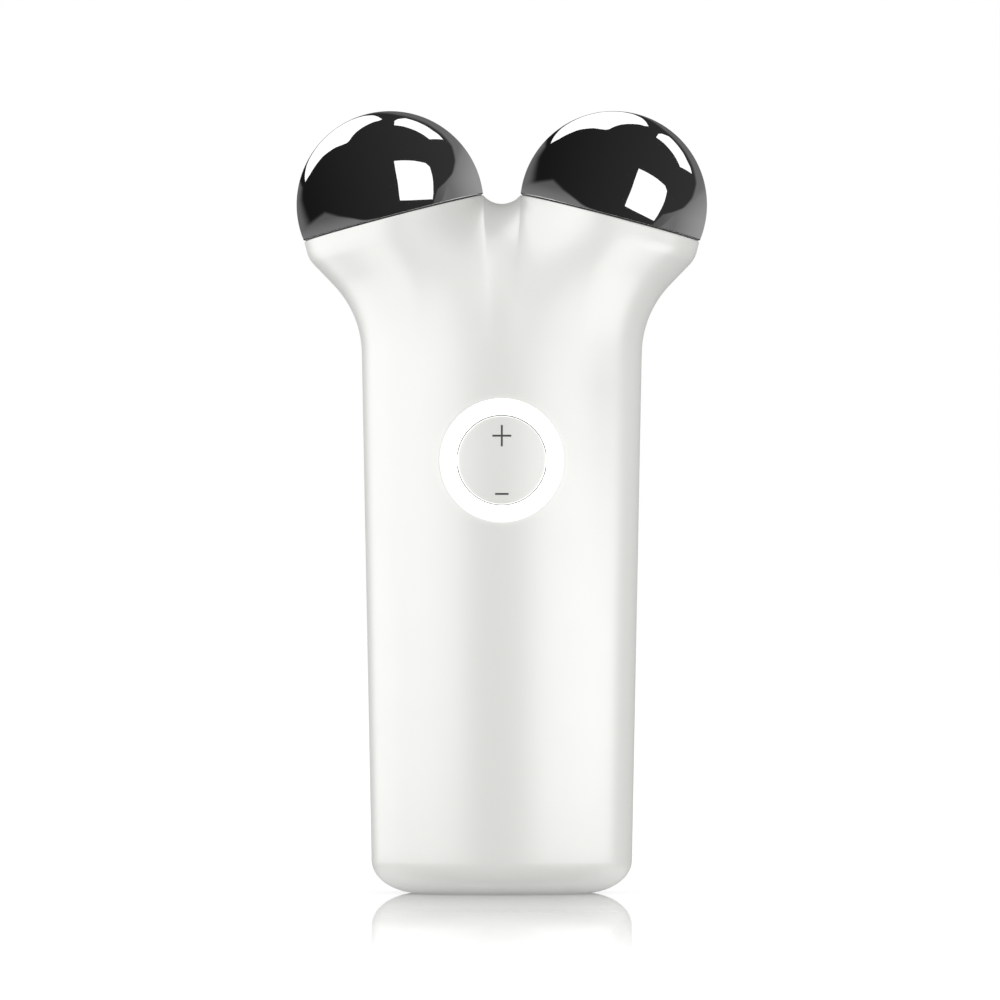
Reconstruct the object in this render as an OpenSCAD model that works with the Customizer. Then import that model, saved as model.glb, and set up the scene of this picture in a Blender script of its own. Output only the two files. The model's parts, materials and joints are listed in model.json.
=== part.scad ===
// Handheld facial toning device: a soft-touch Y-shaped handle that carries two metal contact spheres,
// with a rocking plus and minus button inside a lit ring. It stands upright on its flat base.
// Origin: centre of the base. +Z up, the button faces -Y, +X to the right as the button is seen.

/* [Handle] */
// Width of the handle where the neck starts
handle_w_top = 38.9; // [37:0.1:41]
// Width of the handle just above the base corners
handle_w_base = 36.2; // [34:0.1:40]
// Thickness of the handle, front to back, where the neck starts
handle_t_top = 27.6; // [27:0.1:31]
// Thickness of the handle just above the base corners
handle_t_base = 26.4; // [26:0.1:30]
// Exponent of the handle's rounded section, where 2 is an ellipse and more is squarer
section_n = 2.3; // [2.1:0.05:2.8]
// Height of the rounded corners at the base
corner_h = 4.6; // [3.5:0.1:6.5]
// How far the base corners run in from the sides
corner_w = 6.6; // [5:0.1:8]
// How far the base edge runs in from the front and the back
corner_t = 6; // [4:0.1:7]
// Wall of both shells
wall = 2; // [1.6:0.1:2.2]

/* [Neck and cups] */
// Diameter of each contact sphere
sphere_d = 26; // [25:0.1:28]
// Distance from the middle of the device to a sphere's centre
sphere_x = 15.53; // [15.3:0.01:17]
// Height of the sphere centres over the base
sphere_z = 95.66; // [94:0.01:99]
// Outward tilt of each sphere's axis, in degrees
head_tilt = 14.6; // [12:0.1:17]
// Distance from a sphere's centre down its axis to the rim of its cup
rim_drop = 2; // [1.8:0.01:3]
// Radius of the sweep from the handle into the neck
neck_r = 14; // [9:0.5:15]
// Steepest outward lean of the neck, in degrees
flare = 44; // [40:1:50]
// Radius of the shoulder below each cup
shoulder_r = 3.8; // [3:0.1:5]
// Straight height of a cup's side below its rim
cup_h = 1.5; // [1:0.1:2]
// Depth of the notch between the two cups
notch_sag = 1.2; // [0.8:0.1:2]
// Distance that the valley between the cups runs down from the notch
valley_h = 15.7; // [13:0.1:18]

/* [Contact spheres] */
// Wall of the hollow spheres
sphere_wall = 1.6; // [1.2:0.1:2.2]
// Height of the spigot that each sphere sets into its cup
spigot_h = 1.1; // [0.8:0.1:1.3]
// Play between the spigot and the cup
spigot_gap = 0.3; // [0.2:0.05:0.5]
// Thickness of the seal under each sphere
seal_t = 0.2; // [0.2:0.05:0.5]
// How far the seal lies back from the sphere's edge
seal_inset = 0.2; // [0.1:0.05:0.4]
// Radius of the screw post inside each sphere
sphere_post_r = 3; // [2.6:0.1:3.4]
// Distance from a sphere's centre down to the end of its post
sphere_post_h = 12.2; // [12:0.1:13]

/* [Button and light ring] */
// Height of the button's centre over the base
button_z = 60.1; // [58:0.1:61]
// Outer diameter of the light ring
ring_d = 16.8; // [16:0.1:17.6]
// Inner diameter of the light ring
ring_bore = 12.5; // [12:0.1:13]
// Thickness of the light ring at its middle
ring_t = 1.8; // [1.5:0.1:2]
// Gap all round the button
button_gap = 0.2; // [0.15:0.01:0.3]
// Depth of the pivot behind the button's face
pivot_depth = 3; // [2.9:0.05:3.3]
// Radius of the button's pivot pins
pivot_r = 0.8; // [0.6:0.05:0.9]
// Length of each pivot pin outside the button
pivot_len = 1.6; // [1.2:0.1:1.8]
// Radial clearance of the pivot pins in their bores
pivot_play = 0.05; // [0.02:0.01:0.1]
// Distance of the plus and minus keys from the button's centre
key_z = 3.3; // [3:0.1:3.4]
// Radius of the posts that press the keys
key_post_r = 1; // [0.8:0.1:1.2]
// Radius of the collar that seats the button frame in the shell
collar_r = 9.8; // [9.5:0.1:10]
// Number of lights under the ring
led_count = 12; // [8:4:12]
// Radius of the circle on which the lights stand
led_pitch_r = 7.4; // [7.2:0.05:7.6]
// Radius of the light wells in the button frame
led_well_r = 0.5; // [0.4:0.05:0.6]

/* [Keypad and switches] */
// Thickness of the keypad's top web
keypad_t = 0.7; // [0.5:0.05:0.9]
// Height of the small bosses below the web
keypad_boss_h = 0.5; // [0.3:0.05:0.7]
// Thickness of the keypad's standing skirt
keypad_skirt = 0.9; // [0.6:0.1:1.1]
// Rest gap between parts that press each other
press_gap = 0.05; // [0.03:0.01:0.08]
// Height of a switch body over the board
switch_h = 1.6; // [1.4:0.1:2]
// Side of a switch body
switch_w = 3.2; // [2.8:0.1:3.6]
// Radius of a switch stem
stem_r = 0.7; // [0.5:0.05:0.9]
// Length of a switch stem that stands out of its body
stem_out = 0.4; // [0.35:0.05:0.6]
// Length of a switch stem inside its body
stem_in = 0.6; // [0.5:0.05:0.7]
// Travel of a switch stem
stem_travel = 0.25; // [0.2:0.01:0.3]

/* [Boards] */
// Width of the main board
board_w = 25; // [24:0.1:26]
// Height of the lower edge of the main board over the base
board_z0 = 29; // [28:0.1:31]
// Height of the upper edge of the main board over the base
board_z1 = 71; // [70.5:0.1:71.5]
// Thickness of the circuit boards
board_t = 1.2; // [0.8:0.1:1.4]
// Distance of the board screws from the board's edges
screw_inset = 2; // [1.9:0.1:2.3]
// Radius of a small screw's shank
screw_r = 0.8; // [0.7:0.05:0.9]
// Radius of a small screw's head
screw_head_r = 1.6; // [1.4:0.1:1.8]
// Height of a small screw's head
screw_head_h = 1; // [0.8:0.1:1.2]
// Radial clearance round a screw's shank
screw_play = 0.05; // [0.03:0.01:0.1]

/* [Chassis] */
// Thickness of the chassis plate
chassis_t = 1.6; // [1.4:0.1:2]
// Height of the standoffs between the chassis and the main board
standoff_h = 1.2; // [1:0.1:1.6]
// Radius of the chassis standoffs
standoff_r = 2; // [1.8:0.1:2.2]
// Height of the lower edge of the chassis over the base
chassis_z0 = 11; // [10.6:0.1:11.6]
// Height of the upper edge of the chassis over the base
chassis_z1 = 78; // [77.5:0.1:78.5]
// Half width of the chassis lugs round the shell posts
lug_x = 14.6; // [14.4:0.1:15.2]

/* [Shell posts] */
// Radius of the posts that join the shells
post_r = 2; // [1.8:0.1:2.2]
// Radius of the locating pin on each front post
post_pin_r = 1; // [0.8:0.1:1.1]
// Length of the locating pins
post_pin_h = 2.5; // [1.5:0.1:3]
// Distance of the posts from the middle
post_x = 12; // [11.6:0.1:12.4]
// Height of the lower posts over the base
post_z0 = 13.5; // [13:0.1:14]
// Height of the upper posts over the base
post_z1 = 74.6; // [74.2:0.1:75]
// Clearance between joined moulded parts
fit_gap = 0.1; // [0.05:0.01:0.15]

/* [Battery] */
// Width of the battery cell
cell_w = 24; // [20:0.1:24.4]
// Thickness of the battery cell
cell_t = 9; // [7:0.1:9.3]
// Length of the battery cell
cell_l = 38; // [34:0.5:40]
// Height of the cell's lower end over the base
cell_z = 20.4; // [20:0.1:21]
// Radius of the cell's long edges
cell_r = 2.5; // [1.5:0.1:3]
// Wall of the cell's tray on the chassis
tray_wall = 1; // [0.8:0.1:1.2]
// Height of the tray wall
tray_h = 4; // [3:0.5:5]
// Play round the cell in its tray
tray_gap = 0.3; // [0.2:0.05:0.4]
// Thickness of the foam on the cell
foam_t = 1; // [0.6:0.1:1.5]
// Radius of a lead
lead_r = 0.6; // [0.45:0.05:0.7]

/* [Charging port] */
// Width of the port's metal shell
port_w = 8.94; // [8.9:0.01:9]
// Thickness of the port's metal shell
port_t = 3.26; // [3.2:0.01:3.3]
// Length of the port's metal shell
port_l = 7.4; // [7:0.1:8]
// How far the port's mouth is set back from the base
port_setback = 0.8; // [0.5:0.1:1.2]
// Sheet thickness of the port's metal shell
port_sheet = 0.3; // [0.25:0.05:0.35]
// Gap between the port and the opening in the base
port_gap = 0.2; // [0.15:0.05:0.3]
// Width of the charging board
port_board_w = 18; // [17:0.1:19]
// Height of the upper edge of the charging board over the base
port_board_z1 = 17.6; // [17:0.1:18]

/* [Hidden] */
$fn = 64;
EPS = 0.01;

function mix(a, b, f) = a + (b - a) * f;
function clamp01(f) = min(1, max(0, f));
function smooth(f) = clamp01(f) * clamp01(f) * (3 - 2 * clamp01(f));
function root(f) = sqrt(max(0, f));

// ---- outline of the front view, right half, as [x, z] points ----
ball_r = sphere_d / 2;
rim_r = sqrt(ball_r * ball_r - rim_drop * rim_drop);
axis_out = [sin(head_tilt), cos(head_tilt)];
across_out = [cos(head_tilt), -sin(head_tilt)];
rim_mid = [sphere_x, sphere_z] - rim_drop * axis_out;
rim_out = rim_mid + rim_r * across_out;
rim_in = rim_mid - rim_r * across_out;
notch_z = rim_in.y - notch_sag;
cup_foot = rim_out - cup_h * axis_out;
flare_top = cup_foot - shoulder_r * [cos(head_tilt) - cos(flare), sin(flare) - sin(head_tilt)];
flare_len = (flare_top.x - neck_r * (1 - cos(flare)) - handle_w_top / 2) / sin(flare);
neck_z = flare_top.y - flare_len * cos(flare) - neck_r * sin(flare);

// Each row of the surface: [half width, height, lean, half thickness, lean of the thickness]
CORNER_STEPS = 5;
SIDE_STEPS = 6;
NECK_STEPS = 5;
FLARE_STEPS = 2;
SHOULDER_STEPS = 4;
CUP_PARTS = [0.5, 0.85, 1];
rows = concat(
    [for (i = [0 : CORNER_STEPS]) let (a = 90 * i / CORNER_STEPS) [
        handle_w_base / 2 - corner_w * (1 - sin(a)),
        corner_h * (1 - cos(a)),
        atan2(corner_w * cos(a), corner_h * sin(a)),
        handle_t_base / 2 - corner_t * (1 - sin(a)),
        atan2(corner_t * cos(a), corner_h * sin(a))]],
    [for (i = [1 : SIDE_STEPS]) let (f = i / SIDE_STEPS) [
        mix(handle_w_base, handle_w_top, f) / 2,
        mix(corner_h, neck_z, f), 0,
        mix(handle_t_base, handle_t_top, f) / 2, 0]],
    [for (i = [1 : NECK_STEPS]) let (a = flare * i / NECK_STEPS) [
        handle_w_top / 2 + neck_r * (1 - cos(a)),
        neck_z + neck_r * sin(a), a, handle_t_top / 2, 0]],
    [for (i = [1 : FLARE_STEPS])
        let (p = flare_top - (1 - i / FLARE_STEPS) * flare_len * [sin(flare), cos(flare)])
        [p.x, p.y, flare, handle_t_top / 2, 0]],
    [for (i = [1 : SHOULDER_STEPS]) let (a = mix(flare, head_tilt, i / SHOULDER_STEPS)) [
        cup_foot.x - shoulder_r * (cos(head_tilt) - cos(a)),
        cup_foot.y - shoulder_r * (sin(a) - sin(head_tilt)), a, handle_t_top / 2, 0]],
    [for (f = CUP_PARTS) [
        cup_foot.x + f * cup_h * axis_out.x, cup_foot.y + f * cup_h * axis_out.y,
        head_tilt, handle_t_top / 2, 0]]
);

// Columns run from the left edge over the left cup, the notch and the right cup to the right edge.
CUP_COLS = 12;
NOTCH_COLS = 4;
cols = 2 * CUP_COLS + NOTCH_COLS + 1;
BLEND_START = 4;
TOP_BLEND = 6;

function top_w(k) = rim_out.x - k * across_out.x;
function cup_mid(k) = rim_mid.x / top_w(k);
function cup_half(k) = (rim_r - k) * cos(head_tilt) / top_w(k);
// Place of column j across a row, from -1 to 1, on a surface that lies k inside the outer one
function col(j, k) =
    j > cols / 2 ? -col(cols - 1 - j, k) :
    j <= CUP_COLS ? -cup_mid(k) - cup_half(k) * cos(180 * j / CUP_COLS) :
    (cup_half(k) - cup_mid(k)) * (1 - 2 * (j - CUP_COLS) / NOTCH_COLS);
// Rise of the top edge over the outer end of the rim: a straight rim, then the arc of the notch
function notch_depth(k) = notch_sag + k * (1 - sin(head_tilt));
function notch_r(k) = let (c = rim_in.x + k * cos(head_tilt), g = notch_depth(k)) (c * c + g * g) / (2 * g);
function rim_rise(k) = 2 * (rim_r - k) * sin(head_tilt);
function top_rise(s, k) =
    abs(s) >= cup_mid(k) - cup_half(k) - EPS / 100 ? (1 - abs(s)) * top_w(k) * tan(head_tilt) :
    rim_rise(k) - notch_depth(k) + notch_r(k) - root(notch_r(k) ^ 2 - (s * top_w(k)) ^ 2);
function row_lift(r) = smooth((r[1] - neck_z + BLEND_START) / (cup_foot.y - neck_z + BLEND_START));
function row_z(r, s, k) = let (m = smooth((r[1] - cup_foot.y + TOP_BLEND) / TOP_BLEND))
    r[1] + k * sin(r[2])
    + row_lift(r) * mix((rim_rise(k) - notch_depth(k)) * (1 - s * s), top_rise(s, k), m);
// Depth of the plain handle, and of the head: two round cups joined by a valley
function handle_depth(r, s, k) = (r[3] - k * cos(r[4])) * root(1 - abs(s) ^ section_n) ^ (2 / section_n);
function valley_depth(r, k) = let (q = (row_z(r, 0, k) - notch_z + valley_h) / (valley_h - k))
    (handle_t_top / 2 - k) * root(1 - max(0, q) ^ 2);
function head_depth(r, s, k) =
    root(root(((rim_r - k) ^ 2 * max(0, 1 - ((abs(s) - cup_mid(k)) / cup_half(k)) ^ 2)) ^ 2
    + (valley_depth(r, k) ^ 2 * max(0, 1 - (s / cup_mid(k)) ^ 2)) ^ 2));
function skin_depth(r, s, k) = mix(handle_depth(r, s, k), head_depth(r, s, k), row_lift(r));
function skin(k) = [for (r = rows, j = [0 : cols - 1]) let (s = col(j, k))
    [s * (r[0] - k * cos(r[2])), -skin_depth(r, s, k), row_z(r, s, k)]];

// Half width and half thickness of the plain handle at height z, and its depth at x
function handle_f(z) = (z - corner_h) / (neck_z - corner_h);
function half_w(z) = mix(handle_w_base, handle_w_top, handle_f(z)) / 2;
function half_t(z) = mix(handle_t_base, handle_t_top, handle_f(z)) / 2;
function depth_at(x, z, k) =
    (half_t(z) - k) * root(1 - (abs(x) / (half_w(z) - k)) ^ section_n) ^ (2 / section_n);

// ---- places along Y, from the front to the back ----
face_y = -half_t(button_z);
ring_r = ring_d / 2;
hole_r = ring_r + fit_gap / 2;
crown_sag = -face_y - depth_at(ring_r, button_z, 0);
crown_r = (ring_r * ring_r + crown_sag * crown_sag) / (2 * crown_sag);
ring_back = face_y + ring_t;
collar_depth = 2.5;
collar_y = face_y + collar_depth;
collar_t = 1.3;
collar_room = 4;
pivot_y = face_y + pivot_depth;
cap_r = ring_bore / 2 - button_gap;
pivot_skin = 0.2;
cap_back = pivot_y + pivot_r + pivot_skin;
cap_room = 1.1;
keypad_y = cap_back + cap_room;
web_back = keypad_y + keypad_t;
stem_top = web_back + keypad_boss_h + press_gap;
switch_y = stem_top + stem_out;
board_y = switch_y + switch_h;
board_back = board_y + board_t;
plate_y = board_back + standoff_h;
plate_back = plate_y + chassis_t;

// ==== shells ====
function quad(a, b, c, d) = [[a, b, c], [a, c, d]];
module half_shell() {
    outer = skin(0);
    inner = skin(wall);
    n = len(outer);
    last = len(rows) - 1;
    faces = [
        for (i = [0 : last - 1], j = [0 : cols - 2]) let (a = i * cols + j)
            each concat(quad(a, a + cols, a + cols + 1, a + 1),
                        quad(n + a, n + a + 1, n + a + cols + 1, n + a + cols)),
        for (i = [0 : last - 1]) let (a = i * cols, b = a + cols - 1)
            each concat(quad(a, n + a, n + a + cols, a + cols),
                        quad(b, b + cols, n + b + cols, n + b)),
        for (j = [0 : cols - 2]) let (a = last * cols + j) each quad(a, n + a, n + a + 1, a + 1),
        each quad(0, cols - 1, n + cols - 1, n),
        for (j = [1 : cols - 2]) each [[0, j, j + 1], [n, n + j + 1, n + j]]
    ];
    polyhedron(points = concat(outer, inner), faces = faces, convexity = 10);
}

// A flat oval along X, the shape of the port, its opening and its gasket
module oval(w, t, h) {
    for (x = [-1, 1]) translate([x * (w - t) / 2, 0, 0]) cylinder(d = t, h = h);
    translate([-(w - t) / 2, -t / 2, 0]) cube([w - t, t, h]);
}
module port_opening() translate([0, 0, -1]) oval(port_w + 2 * port_gap, port_t + 2 * port_gap, wall + 2);
// A cylinder along Y from y0 to y1
module rod(x, z, r, y0, y1) translate([x, y0, z]) rotate([-90, 0, 0]) cylinder(r = r, h = y1 - y0);
// A flat shape, drawn in X and Z, given the thickness t from y0 backwards
module slab(y0, t) translate([0, y0 + t, 0]) rotate([90, 0, 0]) linear_extrude(t) children();
module rounded_rect(w, z0, z1, r) {
    translate([-w / 2 + r, z0]) square([w - 2 * r, z1 - z0]);
    translate([-w / 2, z0 + r]) square([w, z1 - z0 - 2 * r]);
    for (x = [-w / 2 + r, w / 2 - r], z = [z0 + r, z1 - r]) translate([x, z]) circle(r);
}
// A box on the front of the main board: [x, z over the board's lower edge, width, height, thickness]
module on_board(b) translate([b[0] - b[2] / 2, board_y - b[4], board_z0 + b[1] - b[3] / 2])
    cube([b[2], b[4], b[3]]);
// A small screw along Y; dir is 1 when its tip points to the back
module screw(x, z, seat, len, dir) {
    rod(x, z, screw_head_r, min(seat, seat - dir * screw_head_h), max(seat, seat - dir * screw_head_h));
    rod(x, z, screw_r, min(seat, seat + dir * len), max(seat, seat + dir * len));
}
// The frame of one contact sphere: Z along its tilted axis; side is -1 or 1
module on_axis(side) translate([side * sphere_x, 0, sphere_z]) rotate([0, side * head_tilt, 0]) children();

function post_root(z) = depth_at(post_x + post_r, z, 0) - wall / 4;

module front_shell() color([0.95, 0.95, 0.93]) {
    difference() {
        union() {
            half_shell();
            for (x = [-post_x, post_x], z = [post_z0, post_z1]) {
                rod(x, z, post_r, -post_root(z), plate_y);
                rod(x, z, post_pin_r, plate_y - 1, plate_back + post_pin_h);
            }
        }
        rod(0, button_z, hole_r, face_y - 2, 0);
        rod(0, button_z, collar_r + fit_gap, collar_y, collar_y + collar_room);
        port_opening();
    }
}

rib_w = 12;
rib_t = 1.2;
module rear_shell() color([0.95, 0.95, 0.93]) difference() {
    union() {
        mirror([0, 1, 0]) half_shell();
        for (x = [-post_x, post_x], z = [post_z0, post_z1]) rod(x, z, post_r, plate_back, post_root(z));
        for (z = [foam_z0 + foam_l / 5, foam_z0 + foam_l * 4 / 5])
            translate([-rib_w / 2, foam_back, z - rib_t / 2])
                cube([rib_w, depth_at(0, z, wall) + wall / 6 - foam_back, rib_t]);
    }
    for (x = [-post_x, post_x], z = [post_z0, post_z1])
        rod(x, z, post_pin_r + fit_gap, plate_back - 1, plate_back + post_pin_h + 2 * fit_gap);
    port_opening();
}

// ==== contact spheres ====
shoulder_h = rim_drop - seal_t;
spigot_r = rim_r - wall - spigot_gap;
sphere_screw_r = 1.2;
sphere_screw_grip = 6;
module contact_sphere(side) color([0.8, 0.8, 0.82]) on_axis(side) difference() {
    union() {
        difference() {
            union() {
                intersection() {
                    sphere(r = ball_r, $fn = 96);
                    translate([0, 0, -shoulder_h]) cylinder(r = ball_r + 1, h = ball_r * 2);
                }
                translate([0, 0, -rim_drop - spigot_h]) cylinder(r = spigot_r, h = spigot_h + seal_t + 1);
            }
            intersection() {
                sphere(r = ball_r - sphere_wall, $fn = 96);
                translate([0, 0, sphere_wall - shoulder_h]) cylinder(r = ball_r, h = ball_r);
            }
            translate([0, 0, -ball_r]) cylinder(r = spigot_r - sphere_wall, h = ball_r + 1);
        }
        translate([0, 0, -sphere_post_h])
            cylinder(r = sphere_post_r, h = sphere_post_h + ball_r - sphere_wall / 2);
    }
    translate([0, 0, -sphere_post_h - 1])
        cylinder(r = sphere_screw_r + screw_play, h = sphere_screw_grip + 2);
}
module seal(side) color([0.25, 0.25, 0.26]) on_axis(side) translate([0, 0, -rim_drop]) difference() {
    cylinder(r = rim_r - seal_inset, h = seal_t);
    translate([0, 0, -1]) cylinder(r = spigot_r + fit_gap / 2, h = seal_t + 2);
}

// ==== button and light ring ====
// Everything behind the gently curved face of the button and the ring
module crown() translate([0, face_y + crown_r, button_z - ring_d])
    cylinder(r = crown_r, h = 2 * ring_d, $fn = 128);
module light_ring() color([1, 1, 1]) intersection() {
    difference() {
        rod(0, button_z, ring_r, face_y - 1, ring_back);
        rod(0, button_z, ring_bore / 2, face_y - 2, ring_back + 1);
    }
    crown();
}
cap_wall = 1.2;
cap_face_t = 1.7;
module button_cap() color([0.93, 0.93, 0.91]) {
    intersection() {
        difference() {
            rod(0, button_z, cap_r, face_y - 1, cap_back);
            rod(0, button_z, cap_r - cap_wall, face_y + cap_face_t, cap_back + 1);
        }
        crown();
    }
    for (s = [-1, 1]) {
        rod(0, button_z + s * key_z, key_post_r, face_y + cap_face_t - cap_wall / 2, keypad_y - press_gap);
        translate([s * (cap_r - cap_wall / 2), pivot_y, button_z]) rotate([0, s * 90, 0])
            cylinder(r = pivot_r, h = pivot_len + cap_wall / 2);
    }
}
frame_bore = ring_bore / 2 + fit_gap;
barrel_rim = 0.4;
barrel_r = ring_r + barrel_rim;
led_size = [1.6, 0.6, 0.8];
led_gap = 0.25;
barrel_back = board_y - led_size.y - led_gap;
leg_r = 0.9;
module button_frame() color([0.9, 0.9, 0.9]) difference() {
    union() {
        rod(0, button_z, ring_r, ring_back, collar_y + EPS);
        rod(0, button_z, collar_r, collar_y, collar_y + collar_t);
        rod(0, button_z, barrel_r, collar_y, barrel_back);
        for (a = [0 : 90 : 270])
            rod((collar_r - leg_r) * cos(a), button_z + (collar_r - leg_r) * sin(a),
                leg_r, collar_y, board_y);
    }
    rod(0, button_z, frame_bore, ring_back - 1, board_y + 1);
    for (i = [0 : led_count - 1]) let (a = 360 * (i + 0.5) / led_count)
        rod(led_pitch_r * cos(a), button_z + led_pitch_r * sin(a), led_well_r, ring_back - 1, board_y);
    for (s = [-1, 1]) translate([s * (ring_bore / 2 - 1), pivot_y, button_z]) rotate([0, s * 90, 0])
        cylinder(r = pivot_r + pivot_play, h = 1 - button_gap + pivot_len + fit_gap);
}
keypad_r = ring_bore / 2 - fit_gap;
keypad_boss_r = 0.9;
module keypad() color([0.75, 0.75, 0.76]) {
    difference() {
        rod(0, button_z, keypad_r, keypad_y, board_y);
        rod(0, button_z, keypad_r - keypad_skirt, web_back, board_y + 1);
    }
    for (s = [-1, 1])
        rod(0, button_z + s * key_z, keypad_boss_r, web_back - keypad_t / 2, web_back + keypad_boss_h);
}
module switch(s) color([0.15, 0.15, 0.16]) difference() {
    on_board([0, button_z - board_z0 + s * key_z, switch_w, switch_w, switch_h]);
    rod(0, button_z + s * key_z, stem_r + press_gap, switch_y - 1,
        switch_y + stem_in + stem_travel + fit_gap);
}
module stem(s) color([0.85, 0.8, 0.7]) rod(0, button_z + s * key_z, stem_r, stem_top, switch_y + stem_in);
module ring_lights() color([1, 0.98, 0.9]) for (i = [0 : led_count - 1])
    translate([0, 0, button_z]) rotate([0, 90 - 360 * (i + 0.5) / led_count, 0])
        translate([-led_size.x / 2, board_y - led_size.y, led_pitch_r - led_size.z / 2]) cube(led_size);

// ==== boards ====
board_corner = 1.2;
module board_screw_places() for (x = [-1, 1], z = [board_z0 + screw_inset, board_z1 - screw_inset])
    translate([x * (board_w / 2 - screw_inset), 0, z]) children();
module main_board() color([0.08, 0.3, 0.2]) difference() {
    slab(board_y, board_t) rounded_rect(board_w, board_z0, board_z1, board_corner);
    board_screw_places() rod(0, 0, screw_r + screw_play, board_y - 1, board_back + 1);
}
chips = [[5.6, 8.8, 5, 5, 0.9], [-7.2, 17.6, 4, 3, 1.1], [0.4, 4.2, 3, 3, 0.8]];
module board_chips() color([0.1, 0.1, 0.11]) for (b = chips) on_board(b);
coil = [5.8, 17, 5.4, 5.4, 1];
coil_h = 3;
coil_rim = 0.3;
module board_coil() color([0.25, 0.25, 0.27]) {
    on_board(coil);
    rod(coil[0], board_z0 + coil[1], coil[2] / 2 - coil_rim, board_y - coil_h, board_y - coil[4]);
}
passive = [0.6, 1, 0.5];
passive_pitch = 1.6;
foot_row = [2.5, 4, 5.6, 2.2];
side_row = [10.4, 7];
middle_row = [0.4, 8];
upper_row = [-3.4, 17];
module passive_row(x, z, n, dx, dz) for (i = [0 : n - 1])
    on_board([x + i * dx, z + i * dz, passive.x, passive.y, passive.z]);
module board_passives() color([0.7, 0.62, 0.5]) {
    for (x = [foot_row[0], foot_row[1], foot_row[2]], s = [-1, 1])
        passive_row(s * x + foot_row[0] / 2, foot_row[3], 1, 0, 0);
    passive_row(side_row.x, side_row.y, 5, 0, passive_pitch + passive.z);
    passive_row(middle_row.x, middle_row.y, 3, 0, passive_pitch + passive.z);
    passive_row(upper_row.x, upper_row.y, 4, passive_pitch, 0);
}
module board_screws() color([0.6, 0.6, 0.62])
    board_screw_places() screw(0, 0, board_y, board_t + standoff_h + chassis_t - fit_gap, 1);
buzzer_at = [-5.6, 9.6];
buzzer_r = 4.5;
buzzer_h = 3;
buzzer_hole_r = 0.7;
module buzzer() color([0.12, 0.12, 0.13])
    translate([buzzer_at.x, board_y - buzzer_h, board_z0 + buzzer_at.y])
    difference() {
        rod(0, 0, buzzer_r, 0, buzzer_h);
        rod(0, 0, buzzer_hole_r, -1, buzzer_h * 2 / 3);
    }

// ==== chassis and battery ====
cell_back = plate_back + cell_t;
foam_back = cell_back + foam_t;
foam_side = 1;
foam_inset = 4;
foam_z0 = cell_z + foam_inset;
foam_l = cell_l - 2 * foam_inset;
plate_w = cell_w + 2 * (tray_gap + tray_wall);
plate_corner = 1.5;
window_z = cell_z + cell_l;
lug_h = 5.2;
port_screw_x = 6.6;
port_screw_z = 14.2;
port_screw_grip = 2.6;
bracket_screw_x = 4.5;
bracket_screw_z = 75.3;
socket = [7, 4, 5];
socket_x = -4.5;
socket_z = 66.2;
socket_wall = 0.7;
window_gap = 0.4;
plug = [socket.x - 2 * socket_wall - 2 * fit_gap, socket.y - 2 * socket_wall - 2 * fit_gap, 5.6];
plug_z = socket_z + socket.z - socket_wall - plug.z;
module chassis() color([0.85, 0.85, 0.83]) difference() {
    union() {
        slab(plate_y, chassis_t) {
            rounded_rect(plate_w, chassis_z0, chassis_z1, plate_corner);
            for (z = [post_z0, post_z1])
                rounded_rect(2 * lug_x, z - lug_h / 2, z + lug_h / 2, plate_corner);
        }
        board_screw_places() rod(0, 0, standoff_r, board_back, plate_y + EPS);
        for (s = [-1, 1]) rod(s * port_screw_x, port_screw_z, standoff_r, plate_back - EPS, port_t / 2);
        slab(plate_back, tray_h) difference() {
            translate([-plate_w / 2, cell_z - tray_gap - tray_wall])
                square([plate_w, cell_l + 2 * (tray_gap + tray_wall)]);
            translate([-cell_w / 2 - tray_gap, cell_z - tray_gap])
                square([cell_w + 2 * tray_gap, cell_l + 2 * tray_gap]);
        }
    }
    for (x = [-post_x, post_x], z = [post_z0, post_z1])
        rod(x, z, post_pin_r + fit_gap, plate_y - 1, plate_back + 1);
    board_screw_places() rod(0, 0, screw_r + screw_play, board_back - 1, plate_back + 1);
    for (s = [-1, 1]) {
        rod(s * port_screw_x, port_screw_z, screw_r + screw_play, plate_y - 1, port_t / 2 + 1);
        rod(s * bracket_screw_x, bracket_screw_z, screw_r + screw_play, plate_y - 1, plate_back + 1);
    }
    translate([socket_x - socket.x / 2 - window_gap, plate_y - 1, window_z])
        cube([socket.x + 2 * window_gap, chassis_t + tray_h + 2,
            socket_z + socket.z + window_gap - window_z]);
}
module battery_cell() color([0.72, 0.74, 0.76]) translate([0, plate_back, cell_z]) linear_extrude(cell_l)
    rounded_rect(cell_w, 0, cell_t, cell_r);
module battery_foam() color([0.3, 0.3, 0.32])
    translate([-rib_w / 2 - foam_side, cell_back, foam_z0]) cube([rib_w + 2 * foam_side, foam_t, foam_l]);
module battery_socket() color([0.93, 0.91, 0.85]) translate([socket_x, board_back, socket_z]) difference() {
    translate([-socket.x / 2, 0, 0]) cube(socket);
    translate([-socket.x / 2 + socket_wall, socket_wall, -1])
        cube([socket.x - 2 * socket_wall, socket.y - 2 * socket_wall, socket.z - socket_wall + 1]);
}
module battery_plug() color([0.9, 0.88, 0.82])
    translate([socket_x - plug.x / 2, board_back + socket_wall + fit_gap, plug_z]) cube(plug);

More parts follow.
